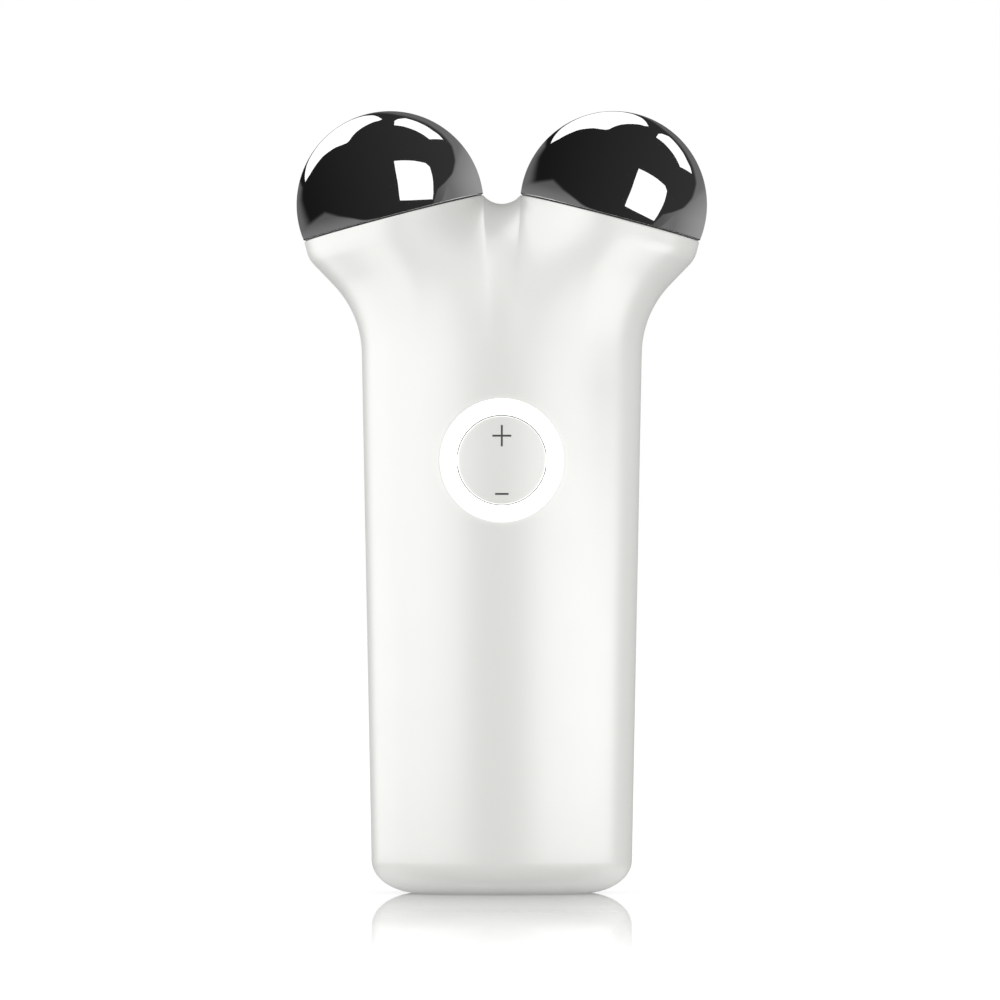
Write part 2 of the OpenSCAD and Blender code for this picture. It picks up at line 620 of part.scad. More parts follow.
// A tube of radius r along a path; u is square to the path and to the X axis
function unit(v) = v / norm(v);
function along(p, i) = unit(p[min(i + 1, len(p) - 1)] - p[max(i - 1, 0)]);
TUBE_SIDES = 8;
module tube(path, r) {
    n = TUBE_SIDES;
    points = [for (i = [0 : len(path) - 1])
        let (t = along(path, i), u = unit(cross(t, [1, 0, 0])), v = cross(t, u))
            for (j = [0 : n - 1]) path[i] + r * (cos(360 * j / n) * u + sin(360 * j / n) * v)];
    end = (len(path) - 1) * n;
    faces = [
        for (i = [0 : len(path) - 2], j = [0 : n - 1]) let (a = i * n + j, b = i * n + (j + 1) % n)
            each quad(a, a + n, b + n, b),
        for (j = [1 : n - 2]) each [[0, j, j + 1], [end, end + j + 1, end + j]]
    ];
    polyhedron(points = points, faces = faces);
}
function bezier(a, b, c, d, f) =
    a * (1 - f) ^ 3 + 3 * b * f * (1 - f) ^ 2 + 3 * c * f * f * (1 - f) + d * f ^ 3;
// A lead from a to d with straight ends; b and c pull on its middle as a Bezier curve's do
LEAD_STEPS = 12;
module lead(a, b, c, d) {
    stub = 2 * lead_r;
    p = a + stub * unit(b - a);
    q = d + stub * unit(c - d);
    tube(concat([a], [for (i = [0 : LEAD_STEPS]) bezier(p, b, c, q, i / LEAD_STEPS)], [d]), lead_r);
}
lead_space = 1.2;
lead_depth = 3.42;
module battery_leads() for (s = [-1, 1]) color(s < 0 ? [0.7, 0.1, 0.1] : [0.1, 0.1, 0.1]) {
    x = socket_x + s * lead_space;
    from = [x, board_back + socket.y / 2, plug_z];
    to = [x, cell_back - lead_depth, cell_z + cell_l];
    drop = [0, 0, (from.z - to.z) / 2];
    lead(from, from - drop, to + drop, to);
}

// ==== charging port ====
gasket_h = 1.2;
gasket_rim = 1.5;
port_board_lift = 0.2;
port_board_z0 = wall + gasket_h + port_board_lift;
module charge_board() color([0.08, 0.3, 0.2]) difference() {
    slab(port_t / 2, board_t) rounded_rect(port_board_w, port_board_z0, port_board_z1, board_corner);
    for (s = [-1, 1]) rod(s * port_screw_x, port_screw_z, screw_r + screw_play, 0, port_t + board_t);
}
module charge_screws() color([0.6, 0.6, 0.62])
    for (s = [-1, 1])
        screw(s * port_screw_x, port_screw_z, port_t / 2 + board_t, board_t + port_screw_grip, -1);
port_back_t = 0.8;
module port_shell() color([0.75, 0.75, 0.77]) translate([0, 0, port_setback]) difference() {
    oval(port_w, port_t, port_l);
    translate([0, 0, -1]) oval(port_w - 2 * port_sheet, port_t - 2 * port_sheet, port_l - port_back_t + 1);
}
tongue = [6.7, 0.7, 5.2];
module port_tongue() color([0.12, 0.12, 0.13])
    translate([-tongue.x / 2, -tongue.y / 2, port_setback + port_l - port_back_t - tongue.z]) cube(tongue);
module port_gasket() color([0.25, 0.25, 0.26]) translate([0, 0, wall]) difference() {
    oval(port_w + 2 * gasket_rim, port_t + 2 * gasket_rim, gasket_h);
    translate([0, 0, -1]) oval(port_w + fit_gap, port_t + fit_gap, gasket_h + 2);
}
// A flat ribbon that leaves the charging board, turns up past the chassis and lies on the main board
ribbon_w = 5;
ribbon_t = 0.3;
ribbon_r = 1.4;
ribbon_lap = 4;
ribbon_lead = 1.2;
module charge_ribbon() color([0.85, 0.55, 0.15]) {
    turn_z = port_setback + port_l + ribbon_lead + ribbon_r;
    translate([-ribbon_w / 2, board_back + ribbon_r, turn_z - ribbon_r])
        cube([ribbon_w, port_t / 2 - board_back - ribbon_r, ribbon_t]);
    translate([-ribbon_w / 2, board_back, turn_z])
        cube([ribbon_w, ribbon_t, board_z0 + ribbon_lap - turn_z]);
    translate([-ribbon_w / 2, board_back + ribbon_r, turn_z]) rotate([0, 90, 0])
        rotate([0, 0, -90]) rotate_extrude(angle = 90)
            translate([ribbon_r - ribbon_t, 0]) square([ribbon_t, ribbon_w]);
}

// ==== bracket under the contact spheres ====
pad_r = 5.2;
pad_t = 2.4;
tag_t = 0.5;
tag_r = 2.9;
tag_tail = 5.6;
tag_w = 2;
bracket_h = 3.6;
bracket_d = 7;
tab_w = 13;
tab_t = 2.4;
tab_z = 72.7;
pad_mid = [sphere_x, sphere_z] - (sphere_post_h + pad_t / 2) * axis_out;
bridge_in = 3.55;
bridge_drop = 2.9;
bridge_x = pad_mid.x - bridge_in;
bridge_z = pad_mid.y - bridge_drop;
module head_bracket() color([0.85, 0.85, 0.83]) difference() {
    union() {
        for (s = [-1, 1]) on_axis(s) translate([0, 0, -sphere_post_h - pad_t])
            cylinder(r = pad_r, h = pad_t);
        translate([-bridge_x, -bracket_d / 2, bridge_z]) cube([2 * bridge_x, bracket_d, bracket_h]);
        translate([-tab_w / 2, plate_back, tab_z]) cube([tab_w, tab_t, bridge_z + bracket_h / 2 - tab_z]);
    }
    for (s = [-1, 1]) {
        on_axis(s) translate([0, 0, -sphere_post_h - pad_t - 1])
            cylinder(r = sphere_screw_r + screw_play, h = pad_t + 2);
        rod(s * bracket_screw_x, bracket_screw_z, screw_r + screw_play,
            plate_back - 1, plate_back + tab_t + 1);
    }
}
module bracket_screws() color([0.6, 0.6, 0.62]) for (s = [-1, 1])
    screw(s * bracket_screw_x, bracket_screw_z, plate_back + tab_t, tab_t + chassis_t - fit_gap, -1);
sphere_screw_head = [2.5, 1.6];
module sphere_screws() color([0.6, 0.6, 0.62]) for (s = [-1, 1])
    on_axis(s) translate([0, 0, -sphere_post_h - pad_t - tag_t]) {
        cylinder(r = sphere_screw_r, h = tag_t + pad_t + sphere_screw_grip);
        translate([0, 0, -sphere_screw_head.y]) cylinder(r = sphere_screw_head.x, h = sphere_screw_head.y);
    }
module sphere_tags() color([0.8, 0.68, 0.3]) for (s = [-1, 1])
    on_axis(s) translate([0, 0, -sphere_post_h - pad_t - tag_t]) difference() {
        union() {
            cylinder(r = tag_r, h = tag_t);
            translate([-tag_w / 2, -tag_tail, 0]) cube([tag_w, tag_tail, tag_t]);
        }
        translate([0, 0, -1]) cylinder(r = sphere_screw_r + screw_play, h = tag_t + 2);
    }
sphere_lead_x = 6.6;
sphere_lead_z = 69.2;
sphere_lead_pull = 2.4;
module sphere_lead(side) color([0.85, 0.85, 0.85]) {
    h = sphere_post_h + pad_t + tag_t / 2;
    from = [side * (sphere_x - h * axis_out.x), -tag_tail, sphere_z - h * axis_out.y];
    to = [side * sphere_lead_x, board_y, sphere_lead_z];
    lead(from, from - [0, sphere_lead_pull, 0], to - [0, 2 * sphere_lead_pull, 0], to);
}

front_shell();
rear_shell();
contact_sphere(-1);  // sphere_left
contact_sphere(1);  // sphere_right
seal(-1);  // seal_left
seal(1);  // seal_right
light_ring();
button_cap();
button_frame();
keypad();
switch(1);  // switch_plus
switch(-1);  // switch_minus
stem(1);  // stem_plus
stem(-1);  // stem_minus
ring_lights();
main_board();
board_chips();
board_coil();
board_passives();
board_screws();
buzzer();
chassis();
battery_cell();
battery_foam();
battery_socket();
battery_plug();
battery_leads();
charge_board();
charge_screws();
port_shell();
port_tongue();
port_gasket();
charge_ribbon();
head_bracket();
bracket_screws();
sphere_screws();
sphere_tags();
sphere_lead(-1);  // sphere_lead_left
sphere_lead(1);  // sphere_lead_right
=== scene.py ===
"""Looks of a handheld facial toning device: a soft-touch Y-shaped housing that carries two mirror-plated contact
spheres, and a rocking plus and minus button inside a ring of light. All sizes are in millimetres until they are
written into a mesh. +Z is up, the button faces -Y."""

import json
import logging
import math
from dataclasses import dataclass
from enum import Enum
from typing import Any, Iterable, Optional, Sequence, Union

import bpy
import numpy as np
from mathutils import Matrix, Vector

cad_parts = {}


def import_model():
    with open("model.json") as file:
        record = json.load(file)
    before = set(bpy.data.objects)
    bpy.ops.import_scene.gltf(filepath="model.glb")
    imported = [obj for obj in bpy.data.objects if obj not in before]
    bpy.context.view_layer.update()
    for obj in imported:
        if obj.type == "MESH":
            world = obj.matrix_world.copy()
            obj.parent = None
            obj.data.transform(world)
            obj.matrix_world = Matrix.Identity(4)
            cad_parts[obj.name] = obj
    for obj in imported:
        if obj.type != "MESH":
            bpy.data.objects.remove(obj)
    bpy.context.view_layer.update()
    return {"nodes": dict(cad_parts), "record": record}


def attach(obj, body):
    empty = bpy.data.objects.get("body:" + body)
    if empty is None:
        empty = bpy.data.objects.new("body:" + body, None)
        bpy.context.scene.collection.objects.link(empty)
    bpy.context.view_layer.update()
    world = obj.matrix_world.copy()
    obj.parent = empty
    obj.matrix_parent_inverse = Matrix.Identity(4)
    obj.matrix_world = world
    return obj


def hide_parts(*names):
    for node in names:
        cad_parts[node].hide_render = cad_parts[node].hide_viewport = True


Array = np.ndarray
Colour = tuple[float, float, float]
MM = 0.001
WHITE = (1.0, 1.0, 1.0, 1.0)
RIM_TURNS = (22.5, 45.0, 67.5, 90.0)
LOG = logging.getLogger("toner")


# ---------------------------------------------------------------------------------------------------------------
# meshes
# ---------------------------------------------------------------------------------------------------------------


class Patches:
    """Collects grids of points into one mesh and joins the points that they share."""

    def __init__(self) -> None:
        """Starts with no points and no faces."""
        self.points: list[Array] = []
        self.faces: list[Array] = []
        self.groups: list[Array] = []
        self.count = 0

    def grid(self, points: Array, wrap: bool = False, flip: bool = False, group: int = 0) -> None:
        """Adds a surface: quads between the neighbouring points of a grid.

        Args:
            points: rows x columns x 3, in millimetres.
            wrap: the last column joins the first.
            flip: turns the faces to the other side.
            group: number of the material slot of these faces.
        """
        rows, cols = points.shape[:2]
        index = self.count + np.arange(rows * cols).reshape(rows, cols)
        if wrap:
            index = np.hstack([index, index[:, :1]])
        quads = np.stack([index[:-1, :-1], index[:-1, 1:], index[1:, 1:], index[1:, :-1]], axis=-1).reshape(-1, 4)
        self.quads(points.reshape(-1, 3), quads[:, ::-1] if flip else quads, group)

    def quads(self, points: Array, quads: Array, group: int = 0) -> None:
        """Adds points and the quads between them, whose numbers count from all points so far."""
        self.points.append(points)
        self.faces.append(quads)
        self.groups.append(np.full(len(quads), group, dtype=np.int32))
        self.count += len(points)

    def build(self, name: str, weld: float = 1e-4) -> bpy.types.Object:
        """Makes the object: equal points become one, and quads that lost a corner become triangles.

        Args:
            name: name of the object and its mesh.
            weld: points on one raster of this pitch, in millimetres, are one.

        Returns:
            The object, at the origin, with its place in its mesh.
        """
        points = np.vstack(self.points)
        faces = np.vstack(self.faces)
        groups = np.concatenate(self.groups)
        _, first, where = np.unique(np.round(points / weld).astype(np.int64), axis=0, return_index=True,
                                    return_inverse=True)
        faces = where.reshape(-1)[faces]
        points = points[first]
        same = faces == np.roll(faces, -1, axis=1)
        whole = ~same.any(axis=1)
        short = same.sum(axis=1) == 1
        order = (np.argmax(same[short], axis=1)[:, None] + 1 + np.arange(3)) % 4
        triangles = np.take_along_axis(faces[short], order, axis=1)
        quads = faces[whole]
        mesh = bpy.data.meshes.new(name)
        mesh.vertices.add(len(points))
        mesh.vertices.foreach_set("co", (points * MM).astype(np.float32).ravel())
        loops = np.concatenate([quads.ravel(), triangles.ravel()]).astype(np.int32)
        sizes = np.concatenate([np.full(len(quads), 4), np.full(len(triangles), 3)]).astype(np.int32)
        mesh.loops.add(len(loops))
        mesh.loops.foreach_set("vertex_index", loops)
        mesh.polygons.add(len(sizes))
        mesh.polygons.foreach_set("loop_start", np.concatenate([[0], np.cumsum(sizes)[:-1]]).astype(np.int32))
        mesh.polygons.foreach_set("loop_total", sizes)
        mesh.polygons.foreach_set("material_index", np.concatenate([groups[whole], groups[short]]).astype(np.int32))
        mesh.polygons.foreach_set("use_smooth", np.ones(len(sizes), dtype=bool))
        mesh.update(calc_edges=True)
        mesh.validate()
        obj = bpy.data.objects.new(name, mesh)
        bpy.context.scene.collection.objects.link(obj)
        return obj


def ramp(a: float, b: float, n: int, include_start: bool = True) -> Array:
    """n equal steps from a to b, without a when include_start is False."""
    return np.linspace(a, b, n + 1)[0 if include_start else 1:]


def smooth(f: Union[float, Array]) -> Union[float, Array]:
    """The smooth step 3f^2 - 2f^3 of f, held between 0 and 1."""
    f = np.clip(f, 0.0, 1.0)
    return f * f * (3 - 2 * f)


def revolve(profile: Array, around: int, start: float = 0.0) -> Array:
    """A profile carried round the Z axis: x = r cos a, y = r sin a, z = h.

    Args:
        profile: n x 2 array of radius and height.
        around: number of steps round the axis.
        start: angle of the first column, in radians.

    Returns:
        n x around x 3 points; the last column joins the first.
    """
    angle = start + np.linspace(0, 2 * np.pi, around, endpoint=False)
    r, h = profile[:, :1], profile[:, 1:]
    return np.stack([r * np.cos(angle), r * np.sin(angle), np.broadcast_to(h, (len(profile), around))], axis=-1)


def arc(centre: Sequence[float], radius: float, a0: float, a1: float, steps: int) -> Array:
    """Points on a circle in a profile's plane, from angle a0 to a1 in degrees."""
    a = np.radians(np.linspace(a0, a1, steps + 1))
    return np.stack([centre[0] + radius * np.cos(a), centre[1] + radius * np.sin(a)], axis=-1)


def to_front(points: Array, z: float, y: float) -> Array:
    """Lays a surface made round the Z axis on its side, so that its axis points to the front, at height z."""
    return np.stack([points[..., 0], y - points[..., 2], z + points[..., 1]], axis=-1)


# ---------------------------------------------------------------------------------------------------------------
# shader tools
# ---------------------------------------------------------------------------------------------------------------

Value = Union["Sock", float]


class Sock:
    """A number that a node gives. Operators on it add Math nodes."""

    def __init__(self, shader: "Shader", socket: bpy.types.NodeSocket) -> None:
        """Wraps one output socket of a shader."""
        self.shader = shader
        self.socket = socket

    def _math(self, operation: str, *values: Value) -> "Sock":
        """One Math node on the given values."""
        return self.shader.node("ShaderNodeMath", {"operation": operation}, dict(enumerate(values)))

    def __add__(self, other: Value) -> "Sock":
        """self + other"""
        return self._math("ADD", self, other)

    def __sub__(self, other: Value) -> "Sock":
        """self - other"""
        return self._math("SUBTRACT", self, other)

    def __rsub__(self, other: Value) -> "Sock":
        """other - self"""
        return self._math("SUBTRACT", other, self)

    def __mul__(self, other: Value) -> "Sock":
        """self * other"""
        return self._math("MULTIPLY", self, other)

    def __truediv__(self, other: Value) -> "Sock":
        """self / other"""
        return self._math("DIVIDE", self, other)

    def __pow__(self, other: Value) -> "Sock":
        """self to the power of other"""
        return self._math("POWER", self, other)

    __radd__ = __add__
    __rmul__ = __mul__

    def at_least(self, low: Value) -> "Sock":
        """The larger one of self and low"""
        return self._math("MAXIMUM", self, low)

    def clamp(self) -> "Sock":
        """self held between 0 and 1"""
        return self._math("MINIMUM", self._math("MAXIMUM", self, 0.0), 1.0)

    def abs(self) -> "Sock":
        """Size of self without its sign"""
        return self._math("ABSOLUTE", self)

    def cos(self) -> "Sock":
        """Cosine of self"""
        return self._math("COSINE", self)

    def root(self) -> "Sock":
        """Square root of self"""
        return self._math("SQRT", self)

    def exp(self) -> "Sock":
        """e to the power of self"""
        return self._math("EXPONENT", self)

    def greater(self, other: Value) -> "Sock":
        """1 where self is more than other, else 0"""
        return self._math("GREATER_THAN", self, other)

    def step(self, low: float, high: float) -> "Sock":
        """0 below low and 1 above high, smooth between them"""
        return self.shader.node("ShaderNodeMapRange", {"interpolation_type": "SMOOTHSTEP"},
                                {"Value": self, "From Min": low, "From Max": high})


class Shader:
    """The node tree of one material, or of the world."""

    def __init__(self, name: str, world: bool = False) -> None:
        """Starts a material or a world with only its output node."""
        self.owner = (bpy.data.worlds if world else bpy.data.materials).new(name)
        self.owner.use_nodes = True
        self.tree = self.owner.node_tree
        self.tree.nodes.clear()
        self.output = self.tree.nodes.new("ShaderNodeOutputWorld" if world else "ShaderNodeOutputMaterial")

    def node(self, kind: str, settings: Optional[dict[str, Any]] = None,
             inputs: Optional[dict[Any, Any]] = None, out: Union[int, str] = 0) -> Sock:
        """Adds a node.

        Args:
            kind: the node's type.
            settings: its properties, which are set first.
            inputs: values or links of its sockets, by name or number.
            out: which of its outputs to return.

        Returns:
            The chosen output.
        """
        node = self.tree.nodes.new(kind)
        for key, value in (settings or {}).items():
            setattr(node, key, value)
        for key, value in (inputs or {}).items():
            if isinstance(value, Sock):
                self.tree.links.new(value.socket, node.inputs[key])
            else:
                node.inputs[key].default_value = value
        return Sock(self, node.outputs[out])

    def place(self) -> Sock:
        """The point on the object, in metres."""
        return self.node("ShaderNodeTexCoord", out="Object")

    def axes(self) -> tuple[Sock, Sock, Sock]:
        """The point on the object in millimetres, as three numbers."""
        node = self.node("ShaderNodeSeparateXYZ", inputs={0: self.place()}).socket.node
        return tuple(Sock(self, node.outputs[i]) * 1000.0 for i in range(3))

    def stretched(self, scale: Sequence[float]) -> Sock:
        """The point on the object with each axis scaled."""
        return self.node("ShaderNodeMapping", inputs={"Vector": self.place(), "Scale": tuple(scale)})

    def noise(self, size_mm: float, detail: float = 2.0, vector: Optional[Sock] = None) -> Sock:
        """Noise from 0 to 1 with features of about the given size."""
        return self.node("ShaderNodeTexNoise", inputs={"Vector": vector or self.place(), "Scale": 1000.0 / size_mm,
                                                       "Detail": detail}, out="Fac")

    def mix(self, factor: Value, a: Any, b: Any) -> Sock:
        """The colour a where factor is 0 and b where it is 1."""
        wide = [(*c, 1.0) if isinstance(c, tuple) and len(c) == 3 else c for c in (a, b)]
        return self.node("ShaderNodeMix", {"data_type": "RGBA"}, {0: factor, 6: wide[0], 7: wide[1]}, out=2)

    def bump(self, height: Sock, depth_mm: float, strength: float = 1.0) -> Sock:
        """A normal from a height of 0 to 1 that stands for depth_mm."""
        return self.node("ShaderNodeBump", inputs={"Strength": strength, "Distance": depth_mm * MM,
                                                   "Height": height})

    def principled(self, **inputs: Any) -> Sock:
        """A Principled node; an underscore in a name stands for a space."""
        named = {key.replace("_", " "): (*v, 1.0) if isinstance(v, tuple) and len(v) == 3 else v
                 for key, v in inputs.items()}
        return self.node("ShaderNodeBsdfPrincipled", inputs=named)

    def finish(self, surface: Sock) -> Union[bpy.types.Material, bpy.types.World]:
        """Links the surface to the output and returns the material or the world."""
        self.tree.links.new(surface.socket, self.output.inputs["Surface"])
        return self.owner


# ---------------------------------------------------------------------------------------------------------------
# finishes
# ---------------------------------------------------------------------------------------------------------------


@dataclass(frozen=True)
class SoftTouchFinish:
    """Soft-touch coating of the housing, with a painted glow round the ring: emission in the coating that stands for
    the ring's light falling on it.
    """

    name: str = "soft_white"
    colour: Colour = (0.80, 0.805, 0.775)
    shade: Colour = (0.775, 0.78, 0.75)
    roughness: float = 0.34
    ior: float = 1.8
    grain_mm: float = 0.22
    glow_height: float = 60.1
    glow_inner: float = 6.05
    glow_outer: float = 8.45
    glow_back: float = -9.0
    reach_in: float = 0.045
    reach_out: float = 0.26
    glow: Colour = (1.0, 1.0, 0.985)
    glow_strength: float = 0.16

    def material(self) -> bpy.types.Material:
        """A pale satin surface with fine grain, faint clouding and a painted glow that fades away from the ring's
        edges.

        Returns:
            The material.
        """
        s = Shader(self.name)
        x, y, z = s.axes()
        z = z - self.glow_height
        radius = (x * x + z * z).root()
        outside = (radius - self.glow_outer).at_least(0.0) / self.reach_out
        inside = (self.glow_inner - radius).at_least(0.0) / self.reach_in
        # painted glow: the coating emits light near the ring's inner and outer edges, only in front of glow_back
        painted_glow_mask = (0.0 - outside - inside).exp() * (self.glow_back - y).greater(0.0)
        cloud = s.noise(9.0, 3.0)
        grain = s.noise(self.grain_mm, 3.0)
        fine = s.noise(self.grain_mm * 4, 2.0)
        surface = s.principled(
            Base_Color=s.mix(cloud, self.colour, self.shade),
            Roughness=self.roughness + (cloud - 0.5) * 0.06 + (grain - 0.5) * 0.05,
            Normal=s.bump(grain * 0.7 + fine * 0.3, 0.006, 0.35),
            Emission_Color=s.mix(painted_glow_mask.clamp(), (0.0, 0.0, 0.0), self.glow),
            Emission_Strength=self.glow_strength,
            IOR=self.ior,
            Specular_IOR_Level=1.0,
        )
        return s.finish(surface)


@dataclass(frozen=True)
class ChromeFinish:
    """Mirror plating with hair-fine handling marks."""

    name: str = "plated_chrome"
    colour: Colour = (0.93, 0.935, 0.94)
    roughness: float = 0.025

    def material(self) -> bpy.types.Material:
        """A nearly perfect mirror whose roughness and normal vary a little.

        Returns:
            The material.
        """
        s = Shader(self.name)
        haze = s.noise(6.0, 4.0)
        lines = s.noise(0.5, 3.0, s.stretched((1.0, 0.12, 1.0)))
        surface = s.principled(
            Base_Color=s.mix(haze, self.colour, tuple(0.985 * c for c in self.colour)),
            Metallic=1.0,
            Roughness=self.roughness + haze.step(0.45, 0.8) * 0.012 + lines.step(0.62, 0.8) * 0.01,
            Normal=s.bump(haze, 0.002, 0.05),
        )
        return s.finish(surface)


@dataclass(frozen=True)
class LightRingFinish:
    """Frosted light guide that glows evenly."""

    name: str = "ring_light"
    colour: Colour = (0.9, 0.9, 0.89)
    glow: Colour = (1.0, 1.0, 0.985)
    strength: float = 1.15
    leds: int = 12
    height: float = 60.1

    def material(self) -> bpy.types.Material:
        """A milky surface lit from within, a touch brighter over each light.

        Returns:
            The material.
        """
        s = Shader(self.name)
        x, _, z = s.axes()
        angle = s.node("ShaderNodeMath", {"operation": "ARCTAN2"}, {0: z - self.height, 1: x})
        beat = (angle * float(self.leds)).cos() * 0.5 + 0.5
        milk = s.noise(0.6, 2.0)
        surface = s.principled(
            Base_Color=self.colour,
            Roughness=0.38 + (milk - 0.5) * 0.1,
            Normal=s.bump(milk, 0.004, 0.3),
            Emission_Color=s.mix(beat, tuple(0.97 * c for c in self.glow), self.glow),
            Emission_Strength=self.strength,
        )
        return s.finish(surface)


class Grain(Enum):
    """How the fine texture of a moulded or drawn surface runs."""

    EVEN = (1.0, 1.0, 1.0)
    ALONG_Z = (1.0, 1.0, 0.04)


@dataclass(frozen=True)
class PlainFinish:
    """Moulded plastic, rubber, film, foam, ceramic or metal with a fine grain."""

    name: str
    colour: Colour
    roughness: float = 0.5
    metallic: float = 0.0
    grain_mm: float = 0.3
    depth_mm: float = 0.01
    spread: float = 0.12
    grain: Grain = Grain.EVEN

    def material(self) -> bpy.types.Material:
        """One colour that varies with a slow and a fine noise, which also rule roughness and relief.

        Returns:
            The material.
        """
        s = Shader(self.name)
        slow = s.noise(self.grain_mm * 14, 3.0)
        fine = s.noise(self.grain_mm, 3.0, s.stretched(self.grain.value))
        dark = tuple(c * (1 - self.spread) for c in self.colour)
        surface = s.principled(
            Base_Color=s.mix(slow * 0.6 + fine * 0.4, self.colour, dark),
            Metallic=self.metallic,
            Roughness=self.roughness + (fine - 0.5) * 0.16,
            Normal=s.bump(fine, self.depth_mm, 0.5),
        )
        return s.finish(surface)


@dataclass(frozen=True)
class BoardFinish:
    """Solder mask over copper tracks."""

    name: str = "board_green"
    mask: Colour = (0.03, 0.16, 0.09)
    track: Colour = (0.05, 0.24, 0.13)
    pitch_mm: float = 1.3

    def material(self) -> bpy.types.Material:
        """A grid of thin lighter tracks under a glossy green mask.

        Returns:
            The material.
        """
        s = Shader(self.name)
        brick = s.node("ShaderNodeTexBrick", {"offset": 0.5}, {
            "Vector": s.node("ShaderNodeMapping", inputs={"Vector": s.place(), "Rotation": (math.pi / 2, 0.0, 0.0)}),
            "Scale": 1000.0 / (self.pitch_mm * 2), "Mortar Size": 0.06, "Brick Width": 1.0, "Row Height": 0.5},
            out="Fac")
        grain = s.noise(0.2, 2.0)
        surface = s.principled(
            Base_Color=s.mix(brick, self.mask, self.track),
            Roughness=0.3 + (grain - 0.5) * 0.1,
            Normal=s.bump(brick, 0.02, 0.4),
        )
        return s.finish(surface)


FINISHES: dict[str, Any] = {
    "seal_black": PlainFinish("seal_black", (0.012, 0.012, 0.013), 0.55),
    # frame_white and silicone_grey glow strongly near the ring: painted glow that makes the gap round the button look
    # lit
    "frame_white": SoftTouchFinish("frame_white", glow_strength=1.0),
    "silicone_grey": SoftTouchFinish("silicone_grey", (0.42, 0.42, 0.43), (0.38, 0.38, 0.39), 0.6, 1.45, 0.4,
                                     glow_back=-8.0, glow_strength=0.9),
    "component_black": PlainFinish("component_black", (0.02, 0.02, 0.022), 0.45),
    "stem_ivory": PlainFinish("stem_ivory", (0.7, 0.64, 0.5), 0.4),
    "led_amber": PlainFinish("led_amber", (0.85, 0.78, 0.45), 0.3),
    "board_green": BoardFinish(),
    "ferrite_grey": PlainFinish("ferrite_grey", (0.06, 0.06, 0.065), 0.7, depth_mm=0.02),
    "passive_tan": PlainFinish("passive_tan", (0.42, 0.33, 0.2), 0.5),
    "screw_steel": PlainFinish("screw_steel", (0.62, 0.62, 0.64), 0.3, 1.0, 0.15, 0.004, 0.2),
    "chassis_grey": PlainFinish("chassis_grey", (0.55, 0.55, 0.54), 0.5),
    "cell_foil": PlainFinish("cell_foil", (0.7, 0.71, 0.73), 0.35, 1.0, 0.5, 0.02, 0.1, Grain.ALONG_Z),
    "foam_grey": PlainFinish("foam_grey", (0.1, 0.1, 0.11), 0.9, 0.0, 0.25, 0.08, 0.3),
    "connector_ivory": PlainFinish("connector_ivory", (0.76, 0.72, 0.6), 0.45),
    "lead_red": PlainFinish("lead_red", (0.42, 0.03, 0.025), 0.4),
    "port_steel": PlainFinish("port_steel", (0.68, 0.68, 0.7), 0.25, 1.0, 0.1, 0.003, 0.12, Grain.ALONG_Z),
    "silicone_black": PlainFinish("silicone_black", (0.015, 0.015, 0.016), 0.6),
    "ribbon_amber": PlainFinish("ribbon_amber", (0.55, 0.26, 0.04), 0.3, 0.0, 0.4, 0.005, 0.2, Grain.ALONG_Z),
    "tag_brass": PlainFinish("tag_brass", (0.8, 0.62, 0.28), 0.3, 1.0, 0.15, 0.004, 0.15),
    "lead_white": PlainFinish("lead_white", (0.75, 0.75, 0.74), 0.4),
    # button_white: a faint painted glow along the button's edge next to the ring
    "button_white": SoftTouchFinish("button_white", glow_strength=0.1),
    "mark_grey": PlainFinish("mark_grey", (0.05, 0.05, 0.05), 0.5, 0.0, 0.1, 0.002, 0.2),
}


# ---------------------------------------------------------------------------------------------------------------
# the housing
# ---------------------------------------------------------------------------------------------------------------


